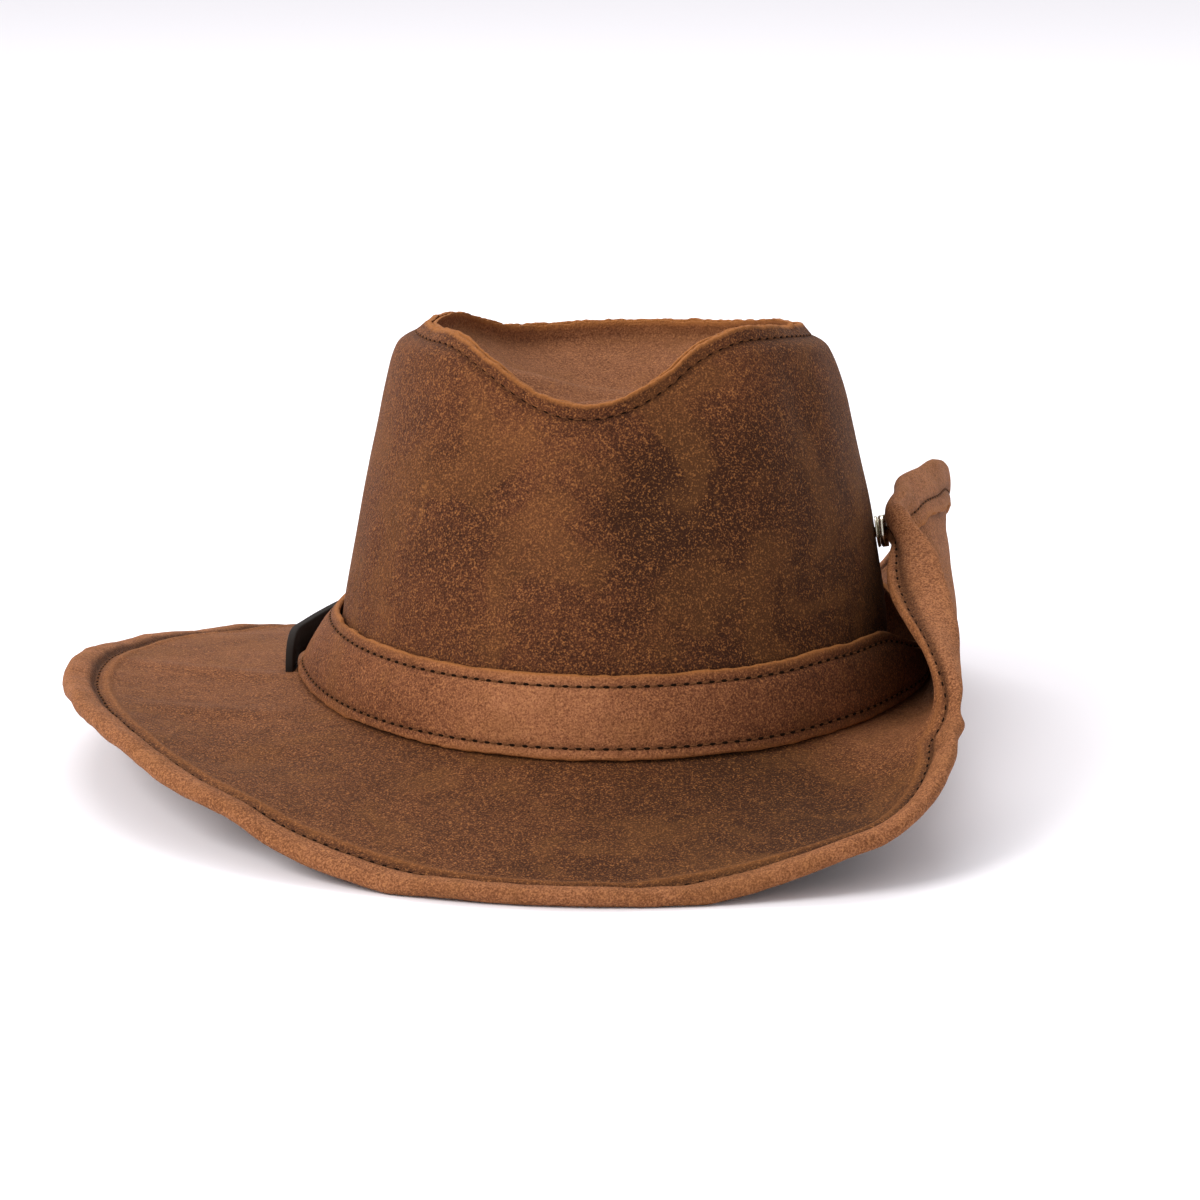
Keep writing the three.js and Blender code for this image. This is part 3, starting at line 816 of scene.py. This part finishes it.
brim_leather_look = leather(
    "brim_leather",
    [(0.036, 0.0112, 0.0038), (0.096, 0.031, 0.0110), (0.218, 0.080, 0.032), (0.370, 0.152, 0.068)],
)
crown_leather_look = leather(
    "crown_leather",
    [(0.034, 0.0105, 0.0036), (0.096, 0.030, 0.0110), (0.170, 0.058, 0.020), (0.290, 0.106, 0.039)],
)
tip_leather_look = leather(
    "tip_leather",
    [(0.060, 0.0200, 0.0075), (0.140, 0.051, 0.0215), (0.235, 0.094, 0.042), (0.320, 0.136, 0.062)],
    0.35,
)
band_leather_look = leather(
    "band_leather",
    [(0.050, 0.0155, 0.0060), (0.143, 0.047, 0.0190), (0.290, 0.110, 0.047), (0.400, 0.170, 0.078)],
    0.45,
)
black_look = plain_finish(
    "black_leather", (0.014, 0.0085, 0.0060), roughness=0.75, size_mm=1.4, bump_mm=0.15, shine=0.2
)
thread_look = plain_finish(
    "thread", (0.15, 0.058, 0.022), roughness=0.85, size_mm=0.5, bump_mm=0.2, shine=0.1
)
# Near-black bars between the threads: painted shade for the stitch holes
hole_shade_look = plain_finish(
    "stitch_hole_shade", (0.012, 0.005, 0.002), roughness=0.9, size_mm=0.6, bump_mm=0.1, shine=0.05
)
metal_look = plain_finish(
    "pale_brass", (0.86, 0.80, 0.66), roughness=0.22, size_mm=0.8, bump_mm=0.05, metal=1.0
)


# Stitches


def unit(rows):
    """Directions of length one."""
    return rows / np.maximum(np.linalg.norm(rows, axis=1, keepdims=True), 1e-9)


def places_along(at, run, rows):
    """Values between the rows of a list, at distances along its run."""
    return np.stack([np.interp(at, run, rows[:, axis]) for axis in range(3)], -1)


def stitch_row(line, normals):
    """Threads along a closed or open line, and dark bars between them that paint the shade in the stitch
    holes, as points and faces.
    """
    step = np.linalg.norm(np.diff(line, axis=0), axis=1)
    run = np.concatenate([[0], np.cumsum(step)])
    count = int(run[-1] / stitch_pitch)
    at = (np.arange(count) + 0.5) * run[-1] / count
    lengths = stitch_length + stitch_wobble * np.sin(np.arange(count) * 2.4)
    threads, holes = [], []
    for centre, length in zip(at, lengths):
        threads.append(capsule(line, normals, run, centre, length, stitch_radius, stitch_lift, stitch_arch))
        between = centre + run[-1] / count / 2
        holes.append(capsule(line, normals, run, between, hole_length, hole_radius, hole_lift, hole_arch))
    return threads, holes


def capsule(line, normals, run, centre, length, radius, lift, arch):
    """One rounded bar along a line. It stands off the line by lift, and its ends drop by arch."""
    sides, rings = 6, 5
    share = np.linspace(-1, 1, rings)
    at = np.clip(centre + share * length / 2, run[0], run[-1])
    middle = places_along(at, run, line)
    normal = unit(places_along(at, run, normals))
    across = unit(np.cross(unit(np.gradient(middle, axis=0)), normal))
    middle = middle + normal * (lift - arch * share[:, None] ** 4)
    width = radius * np.sqrt(np.maximum(1 - 0.85 * share**4, 0.02))
    turn = np.arange(sides) * 2 * np.pi / sides
    ring = across[:, None] * np.cos(turn)[:, None] + normal[:, None] * np.sin(turn)[:, None]
    points = (middle[:, None, :] + ring * width[:, None, None]).reshape(-1, 3)
    faces = grid_faces(rings, sides, closed_around=False).tolist()
    faces.append(list(range(sides)))
    faces.append(list(range(len(points) - 1, len(points) - sides - 1, -1)))
    return points, faces


def joined(parts):
    """Many small bodies as one list of points and one of faces."""
    points, faces, start = [], [], 0
    for part_points, part_faces in parts:
        points.append(part_points)
        faces.extend([[index + start for index in face] for face in part_faces])
        start += len(part_points)
    return np.vstack(points), faces


def sewn(name, rows):
    """Puts rows of stitches on the hat as one piece of thread and one of dark bars painting the shade in the
    holes.
    """
    threads, holes = [], []
    for line, normals in rows:
        row_threads, row_holes = stitch_row(line, normals)
        threads += row_threads
        holes += row_holes
    new_piece(name + "_thread", *joined(threads), thread_look)
    new_piece(name + "_holes", *joined(holes), hole_shade_look)


# Brim


def hem_inset(azimuth):
    """How far the raw edge of the hem lies in from the brim's edge."""
    return hem_width + rough(foot_point(azimuth, hem_ring_out, 0.0), "hem edge")


def brim_wave(azimuth, along):
    """Slow waves of the brim's leather, off its face."""
    around = azimuth[:, None]
    lengths = brim_lengths(azimuth)[:, None]
    share = along / lengths
    near_snap = bell(np.hypot(turn_between(around, 0) * 1.6, along - lengths + snap_inset), 34)
    wave = rough(foot_point(around, along, 0.0), "brim") * blend(0.15, 0.7, share) * (1 - near_snap)
    for fold in brim_folds:
        outwards = share - fold["start"]
        sideways = turn_between(around, fold["azimuth"]) * fold_mm_per_degree + outwards * fold_slant
        wave = wave + fold["height"] * bell(sideways, fold["spread"]) * bell(outwards, fold_length)
    ripple = rough(foot_point(around, along * 0.2, 0.0), "brim edge")
    return wave + ripple * blend(0.72, 0.95, share) * (1 - near_snap)


def hem_relief(inset):
    """The upper face over the hem: puffed near the edge, drawn in at its stitches and ridged inside them."""
    puff = hem_puff * np.sin(np.pi * np.clip(inset / (hem_seam - 1), 0.1, 1)) ** 0.7
    groove = hem_groove * bell(inset - hem_seam + 0.6, 1.5)
    return puff - groove + hem_ridge * bell(inset - hem_width + 1.5, 1.3)


def build_brim():
    azimuth = even_azimuths(brim_points)
    around = azimuth[:, None]
    lengths = brim_lengths(azimuth)[:, None]
    hem = hem_inset(azimuth)[:, None]
    ones = np.ones_like(lengths)
    along, off, raw, painted_shade = [], [], [], []

    def add(inset, height, raw_part=0.0, painted_shade_part=0.0):
        along.append(lengths - inset)
        off.append(height * ones)
        raw.append(raw_part * ones)
        painted_shade.append(painted_shade_part * ones)

    double = 2 * brim_leather
    inner_inset = hem_width + 4
    # Painted shade over the upper face in the fold between the crown and the turned-up side
    fold = 0.95 * bell(turn_between(around, 6), 24)
    # Out over the upper face, over the hem and round its roll, with painted shade in the groove beside the
    # stitches
    for share in np.linspace(0, 1, 38):
        inset = lengths * (1 - share) + inner_inset * share
        add(inset, hem_relief(inset), 0.0, fold * blend(0.95, 0.7, share))
    for inset in np.linspace(inner_inset - 0.5, hem_roll, 34):
        worn = 0.30 * bell(inset - hem_width + 1.5, 1.5)
        add(inset, hem_relief(inset), worn, 0.75 * bell(inset - hem_seam + 1.4, 1.8))
    for turn in np.radians([68, 45, 22, 0, -22, -45, -68]):
        add(hem_roll * (1 - np.cos(turn)), hem_fullness * np.sin(turn) - brim_leather, 0.06)
    # Back under the hem, up its raw edge and along the underside, with painted shade in the groove under the
    # stitches and in the corner inside the raw edge
    for share in np.linspace(0, 0.97, 20):
        inset = hem_roll * (1 - share) + hem * share
        puff = hem_under_puff * np.sin(np.pi * np.clip(inset / hem_seam, 0.12, 1)) ** 0.8
        groove = bell(inset - hem_seam, 1.0)
        add(inset, -double - puff + hem_under_groove * groove, 0.5 * blend(0.85, 0.97, share), 0.4 * groove)
    add(hem + 0.05, -double, 0.9)
    add(hem + 0.3, -double + 0.7, 1.0)
    add(hem + 0.1, -double + 1.4, 1.0, 0.3)
    for share in np.linspace(0, 1, 30):
        add((hem + 0.1) * (1 - share) + lengths * share, -brim_leather, 0.0, 0.5 * blend(0.03, 0.0, share))
    along, off = side_by_side(along, off)
    outside = brim_place(azimuth, along, off + brim_wave(azimuth, along))
    opening = foot_point(around, -crown_leather, np.array([[-brim_leather, 0.0]]))
    grid = np.concatenate([outside, opening], axis=1)
    extra = np.zeros(opening.shape[:2])
    along, raw, painted_shade = side_by_side([along, extra], raw + [extra], painted_shade + [extra])
    hem_part = blend(hem_seam - 0.5, hem_seam - 4, lengths - along)
    base = brim_tone(around)
    tone = base * (1 - hem_part) + np.clip(base + 0.15, 0.76, 0.82) * hem_part
    body_piece("brim", grid, brim_leather_look, {"raw": raw, "painted_shade": painted_shade, "tone": tone})


def brim_seam_rows():
    """The hem's row of stitches, seen on the brim's upper face and on its underside."""
    azimuth = np.linspace(0, 360, 1200)
    lengths = brim_lengths(azimuth)[:, None]
    along = lengths - hem_seam
    wave = brim_wave(azimuth, along)
    rows = []
    for height, side in ((hem_relief(hem_seam), 1), (-2 * brim_leather + 0.5, -1)):
        line = brim_place(azimuth, along, height + wave)[:, 0]
        above = brim_place(azimuth, along, height + wave + side)[:, 0]
        rows.append((line, above - line))
    return rows


# Crown

allowance_share = seam_allowance / crown_height


def wall_wave(azimuth, share):
    """Slow unevenness of the crown's wall, inwards."""
    wave = rough(wall_point(azimuth, share), "wall")
    return wave * blend(0.0, 0.25, share) * blend(1.0, 0.82, share)


def build_crown_side():
    around = even_azimuths(wall_points)[:, None]
    columns, raw, painted_shade = [], [], []
    top = rough(foot_point(around, 0.0, 0.0), "wall edge")

    def add(share, inward, raw_part=0.0, painted_shade_part=0.0, rises=0.0):
        share = share + np.zeros_like(around)
        point = wall_point(around, share, inward + wall_wave(around, share))
        point[..., 2] += rises * top
        point[..., 2] = np.maximum(point[..., 2], gap)
        columns.append(point)
        raw.append(raw_part * np.ones_like(around))
        painted_shade.append(painted_shade_part * np.ones_like(around))

    # Up the wall and its raw edge, and down inside, with painted shade in the groove under the rim
    for share in np.linspace(0, 0.90, 52):
        add(share, 0.0)
    for share in np.linspace(0.91, 1.0, 22):
        groove = bell((share - 1.0) * crown_height, 0.9)
        ridge = bell((share - 0.975) * crown_height, 1.8)
        add(share, rim_groove * groove - rim_ridge * ridge, 0.0, 0.5 * groove)
    for share in np.linspace(0.15, 1, 8):
        add(1 + allowance_share * share, -seam_flare * share, 0.7 * blend(0.72, 1, share), 0.0, share)
    add(1 + allowance_share + 0.003, crown_leather * 0.25 - seam_flare, 1.0, 0.0, 1.0)
    add(1 + allowance_share + 0.003, crown_leather * 0.75 - seam_flare, 1.0, 0.0, 1.0)
    add(1 + allowance_share, crown_leather - seam_flare, 1.0, 0.0, 1.0)
    add(1.0, crown_leather, 0.2)
    for share in np.linspace(1 - crown_leather / crown_height, 0, 34):
        add(share, crown_leather)
    grid, raw, painted_shade = side_by_side(columns, raw, painted_shade)
    upward = grid[..., 2] / (rim_at["height"](around) * crown_height)
    # The wall's tone: partly painted shade over the right front, with painted shade in the dents, and
    # lighter places below the rim and low down
    tone = crown_tone(around) + np.zeros_like(upward)
    for shade in crown_shades:
        sideways = bell(turn_between(around, shade["azimuth"]), shade["wide"])
        tone = tone + shade["shade"] * sideways * bell(upward - shade["height"], shade["tall"])
    body_piece("crown_side", grid, crown_leather_look, {"raw": raw, "painted_shade": painted_shade, "tone": tone})


def rim_seam_row():
    """The row of stitches under the raw edge of the crown's rim."""
    azimuth = np.linspace(0, 360, 900)
    share = np.ones_like(azimuth) + 0.3 / crown_height
    line = wall_point(azimuth, share, 0.3)
    outer = wall_point(azimuth, share, -0.7)
    return [(line, outer - line)]


def tip_grid(azimuth, share, down):
    rim = wall_point(azimuth, 1.0, crown_leather + gap)
    angle = np.radians(azimuth)
    across = share * np.cos(angle)
    along = share * np.sin(angle)
    dip = tip_dip * (1 - share**2.4)
    fade = np.maximum(1 - share**4, 0)
    for crease in tip_creases:
        ridge = bell(across - crease["across"], crease["long"])
        ridge = ridge * bell(along - crease["along"], crease["broad"])
        dip = dip - crease["lift"] * tip_dip * fade * ridge
    flat = np.stack([across * tip_half_width, along * tip_half_length, 0 * along], -1)
    wave = rough(flat, "tip") * fade
    up = tip_height + (rim[..., 2] - tip_height) * share**2 - dip - down + wave
    return np.stack([rim[..., 0] * share, rim[..., 1] * share, up], -1)


def build_crown_tip():
    around = even_azimuths(tip_points)[:, None]
    inset = 1 - crown_leather / (crown_half_width * rim_at["reach"](0.0))
    inwards = crown_leather + gap
    top = rough(foot_point(around, 0.0, 0.0), "tip edge")
    shares = np.linspace(0.02, 1, 46)[None, :] * inset
    # Out over the dish, up and over its raw edge, and back below
    upper = tip_grid(around, shares, 0.0)
    flange = [wall_point(around, 1.0, inwards + crown_leather)]
    for share, inward in ((0.5, 0.8), (1.0, 0.75), (1.03, 0.5), (1.0, 0.2)):
        depth = inwards + crown_leather * inward - seam_flare * share
        point = wall_point(around, 1 + allowance_share * share, depth)
        point[..., 2] += top * share
        flange.append(point)
    flange.append(wall_point(around, 1.0, inwards))
    flange.append(wall_point(around, 1 - crown_leather / crown_height, inwards))
    lower = tip_grid(around, shares[:, ::-3], crown_leather)
    grid = np.concatenate([upper, *flange, lower], axis=1)
    raw = np.zeros(grid.shape[:2])
    middle = upper.shape[1] + 1
    raw[:, middle] = 0.12
    raw[:, middle + 1 : middle + 4] = 1.0
    marks = {"raw": raw, "painted_shade": np.zeros_like(raw), "tone": np.full_like(raw, 0.62)}
    body_piece("crown_tip", grid, tip_leather_look, marks, closed_across=False)


# Band

band_seam_share = band_seam / band_width


def band_line(azimuth):
    """The band's inner face from foot to top, as distances out and heights."""
    foot_out = band_at["foot"](azimuth) * band_width
    heights = [brim_height(azimuth, foot_out), brim_height(azimuth, foot_out + band_leather)]
    foot_up = np.maximum(*heights) + gap
    rise = band_at["rise"](azimuth) * band_width
    lean = band_at["lean"](azimuth) * band_width
    top_up = foot_up + rise
    top_out = foot_out
    for _ in range(6):
        top_out = wall_out(azimuth, top_up) + gap + lean
        top_up = foot_up + np.sqrt(np.maximum(rise**2 - (foot_out - top_out) ** 2, 1))
    return np.stack([foot_out, foot_up], -1), np.stack([top_out, top_up], -1)


def band_place(azimuth, share, outer):
    """Places on the band by share of its height and distance off its inner face."""
    foot, top = [end[:, None, :] for end in band_line(azimuth)]
    along = top - foot
    side = np.stack([along[..., 1], -along[..., 0]], -1)
    side = side / np.linalg.norm(side, axis=-1, keepdims=True)
    bow = band_bow * np.sin(np.pi * share)
    spot = foot + along * share[..., None] + side * (outer + bow)[..., None]
    return foot_point(azimuth[:, None], spot[..., 0], spot[..., 1])


def build_band():
    azimuth = even_azimuths(band_points)
    ones = np.ones((band_points, 1))
    flat = foot_point(azimuth[:, None], 0.0, 0.0)
    upper_edge = rough(flat, "band top") / band_width
    lower_edge = rough(flat, "band foot") / band_width
    shares, outers, raw, painted_shade = [], [], [], []

    def add(share, outer, raw_part=0.0, painted_shade_part=0.0):
        shares.append(share * ones)
        outers.append(outer * ones)
        raw.append(raw_part * ones)
        painted_shade.append(painted_shade_part * ones)

    # Up the inner face, over the upper edge, down the outer face and under the lower edge, with painted
    # shade in the grooves of the stitch rows
    for share in np.linspace(0.02, 0.98, 10):
        add(share, 0.0)
    for rise, outer in ((0, 0.5), (0.012, 1.1), (0, 1.75)):
        add(1 + rise + upper_edge, outer, 1.0)
    for share in np.linspace(0.985, 0.015, 40):
        groove = bell(share - band_seam_share, 0.03) + bell(share - 1 + band_seam_share, 0.03)
        edge = np.clip(1 - min(share, 1 - share) / band_seam_share, 0, 1)
        middle = blend(band_seam_share, 0.3, share) * blend(1 - band_seam_share, 0.7, share)
        wave = rough(flat + np.array([0.0, 0.0, share * band_width]), "band") * middle
        add(share, band_leather - band_groove * groove + wave, 0.5 * edge**3, 0.4 * groove)
    for drop, outer in ((0, 1.75), (0.008, 1.1), (0, 0.5)):
        add(-drop + lower_edge, outer, 1.0)
    shares, outers, raw, painted_shade = side_by_side(shares, outers, raw, painted_shade)
    grid = band_place(azimuth, shares, outers)
    tone = band_tone(azimuth)[:, None] * np.ones_like(raw)
    body_piece("hat_band", grid, band_leather_look, {"raw": raw, "painted_shade": painted_shade, "tone": tone})


def band_seam_rows():
    azimuth = np.linspace(0, 360, 1000)
    rows = []
    for share in (band_seam_share, 1 - band_seam_share):
        shares = np.full((len(azimuth), 1), share)
        line = band_place(azimuth, shares, np.full_like(shares, band_leather - 0.3))[:, 0]
        outer = band_place(azimuth, shares, np.full_like(shares, band_leather + 0.7))[:, 0]
        rows.append((line, outer - line))
    return rows


# Chin strap


def smooth_line(points, steps):
    """A curve through points, with a number of steps between each two."""
    ends = np.vstack([2 * points[0] - points[1], points, 2 * points[-1] - points[-2]])
    spans = np.maximum(np.linalg.norm(np.diff(ends, axis=0), axis=1) ** 0.5, 1e-4)
    pieces = []
    t = np.linspace(0, 1, steps, endpoint=False)[:, None]
    for i in range(len(points) - 1):
        a, b, c, d = ends[i : i + 4]
        before, here, after = spans[i : i + 3]
        leaving = ((b - a) / before - (c - a) / (before + here) + (c - b) / here) * here
        arriving = ((c - b) / here - (d - b) / (here + after) + (d - c) / after) * here
        pieces.append(hermite(t, b, c, leaving, arriving))
    pieces.append(points[-1:])
    return np.vstack(pieces)


def strap_tail(row):
    """The stops of a strap end, from its tip under the brim to its slit."""
    azimuth = np.array([float(row["azimuth"])])
    out = row["out"] * band_width
    drop = brim_leather + gap + strap_thickness / 2
    normal = foot_normal(azimuth)[0]
    down = np.array([0.0, 0.0, -1.0])
    top = float(brim_height(azimuth, np.array([out]))[0])
    stops = []
    for back in (strap_end, strap_end / 2, strap_end / 4):
        height = float(brim_height(azimuth, np.array([out - back]))[0])
        stops.append((foot_point(azimuth, out - back, height - drop)[0], down))
    stops.append((foot_point(azimuth, out - strap_thickness / 3, top - drop - gap)[0], normal + down))
    stops.append((foot_point(azimuth, out, top - brim_leather)[0], normal))
    return stops


def build_strap():
    stops = strap_tail(strap_route[0])
    for row in strap_route:
        azimuth = np.array([float(row["azimuth"])])
        out = np.array([row["out"] * band_width])
        height = brim_height(azimuth, out) + row["up"] * band_width
        stops.append((foot_point(azimuth, out, height)[0], foot_normal(azimuth)[0]))
    stops += strap_tail(strap_route[-1])[::-1]
    steps = 12
    centre = smooth_line(np.array([stop[0] for stop in stops]), steps)
    at = np.arange(len(centre)) / steps
    faces = np.array([stop[1] / np.linalg.norm(stop[1]) for stop in stops])
    face = places_along(at, np.arange(len(stops)), faces)
    forward = unit(np.gradient(centre, axis=0))
    across = unit(np.cross(forward, face))
    side = np.cross(across, forward)
    corner = np.array([strap_width, strap_thickness]) / 2 - strap_rounding
    section = []
    for start, signs in enumerate(((1, 1), (-1, 1), (-1, -1), (1, -1))):
        for turn in np.radians([0, 45, 90]) + start * np.pi / 2:
            section.append(signs * corner + strap_rounding * np.array([math.cos(turn), math.sin(turn)]))
    section = np.array(section)[None, :, :, None]
    grid = centre[:, None, :] + across[:, None, :] * section[:, :, 0] + side[:, None, :] * section[:, :, 1]
    body_piece("chin_strap", grid, black_look, closed_around=False)


# Press snap


def turned_piece(name, profile):
    """A turned body on the snap's axis, from a profile of radius and distance from the wall."""
    sides = 48
    turn = np.arange(sides) * 2 * np.pi / sides
    axis = np.array([math.cos(seat["lean"]), 0, math.sin(seat["lean"])])
    across = np.array([0.0, 1.0, 0.0])
    upward = np.cross(axis, across)
    origin = foot_point(0.0, seat["out"], seat["up"])
    radius, along = np.array(profile, float).T
    radius = np.maximum(radius, 0.01)
    ring = np.cos(turn)[:, None, None] * across + np.sin(turn)[:, None, None] * upward
    grid = origin + along[None, :, None] * axis + radius[None, :, None] * ring
    body_piece(name, grid, metal_look, closed_across=False, capped=False)


def build_snap():
    back = -crown_leather - gap - snap_flange
    stud = [
        (0, back),
        (snap_radius - 0.3, back),
        (snap_radius, back + 0.25),
        (snap_radius, back + snap_flange),
        (snap_shank_radius, back + snap_flange),
        (snap_shank_radius, gap),
        (snap_radius - 0.2, gap),
        (snap_radius, gap + 0.25),
        (snap_radius - 0.4, flange_face),
        (snap_stud_radius, flange_face),
        (snap_stud_radius, stud_top - 0.4),
        (snap_stud_radius - 0.4, stud_top),
        (0, stud_top),
    ]
    hollow = snap_stud_radius + gap
    socket = [
        (0, stud_top + gap),
        (hollow, stud_top + gap),
        (hollow, socket_face + 0.3),
        (hollow + 0.4, socket_face),
        (snap_radius - 0.4, socket_face),
        (snap_radius, socket_face + 0.35),
        (snap_radius, socket_back),
        (snap_shank_radius, socket_back),
        (snap_shank_radius, cap_face),
        (snap_cap_radius - 0.2, cap_face),
        (snap_cap_radius, cap_face + 0.3),
        (snap_cap_radius - 0.3, cap_face + 0.8),
        (snap_cap_radius - 1.4, cap_face + 1.25),
        (snap_cap_radius - 3.2, cap_face + 1.5),
        (0, cap_face + snap_cap_thickness),
    ]
    turned_piece("snap_stud", stud)
    turned_piece("snap_socket", socket)


# Camera, floor and light


def aim(item, position, target):
    """Sets an object down and turns it to look at a target."""
    direction = Vector(target) - Vector(position)
    turned = direction.to_track_quat("-Z", "Y").to_matrix().to_4x4()
    item.matrix_world = Matrix.Translation(position) @ turned


def build_camera():
    turn, lift = math.radians(view_turn), math.radians(view_lift)
    middle = photo_size / 2
    back = np.array([math.sin(turn) * math.cos(lift), -math.cos(turn) * math.cos(lift), math.sin(lift)])
    right = np.array([math.cos(turn), math.sin(turn), 0.0])
    upward = np.cross(back, right)
    target = right * (middle - foot_pixel_x) / pixels_per_mm
    target = target + upward * (foot_pixel_y - middle) / pixels_per_mm
    position = to_metres(target + back * view_distance)
    camera = put_in_scene("camera", bpy.data.cameras.new("camera"))
    camera.data.sensor_width = sensor_width
    camera.data.lens = pixels_per_mm * view_distance * sensor_width / photo_size
    camera.data.clip_start = 0.05
    camera.data.clip_end = 20
    aim(camera, position, to_metres(target))
    bpy.context.scene.camera = camera


def build_floor():
    mesh = bpy.data.meshes.new("floor")
    size = 6.0
    corners = [(-size, -size, 0), (size, -size, 0), (size, size, 0), (-size, size, 0)]
    mesh.from_pydata(corners, [], [(0, 1, 2, 3)])
    material, _, _, shader = new_material("floor")
    fill(shader, {"Base Color": (0.935, 0.92, 0.96, 1), "Roughness": 0.9})
    mesh.materials.append(material)
    floor = put_in_scene("floor", mesh)
    floor.location.z = -0.0004


def build_light(name, position, size, power, colour):
    light = put_in_scene(name, bpy.data.lights.new(name, "AREA"))
    light.data.shape = "RECTANGLE"
    light.data.size, light.data.size_y = size
    light.data.energy = power
    light.data.color = colour
    aim(light, position, (0.02, 0, 0.06))


def build_studio():
    world = bpy.data.worlds.new("studio")
    bpy.context.scene.world = world
    world.use_nodes = True
    fill(world.node_tree.nodes["Background"], {"Color": (1.0, 0.99, 1.0, 1), "Strength": 0.82})
    for light in lights:
        build_light(**light)
    bpy.context.scene.view_settings.view_transform = "Standard"


build_brim()
build_crown_side()
build_crown_tip()
build_band()
build_strap()
build_snap()
sewn("hem", brim_seam_rows())
sewn("rim", rim_seam_row())
sewn("band", band_seam_rows())
build_camera()
build_floor()
build_studio()
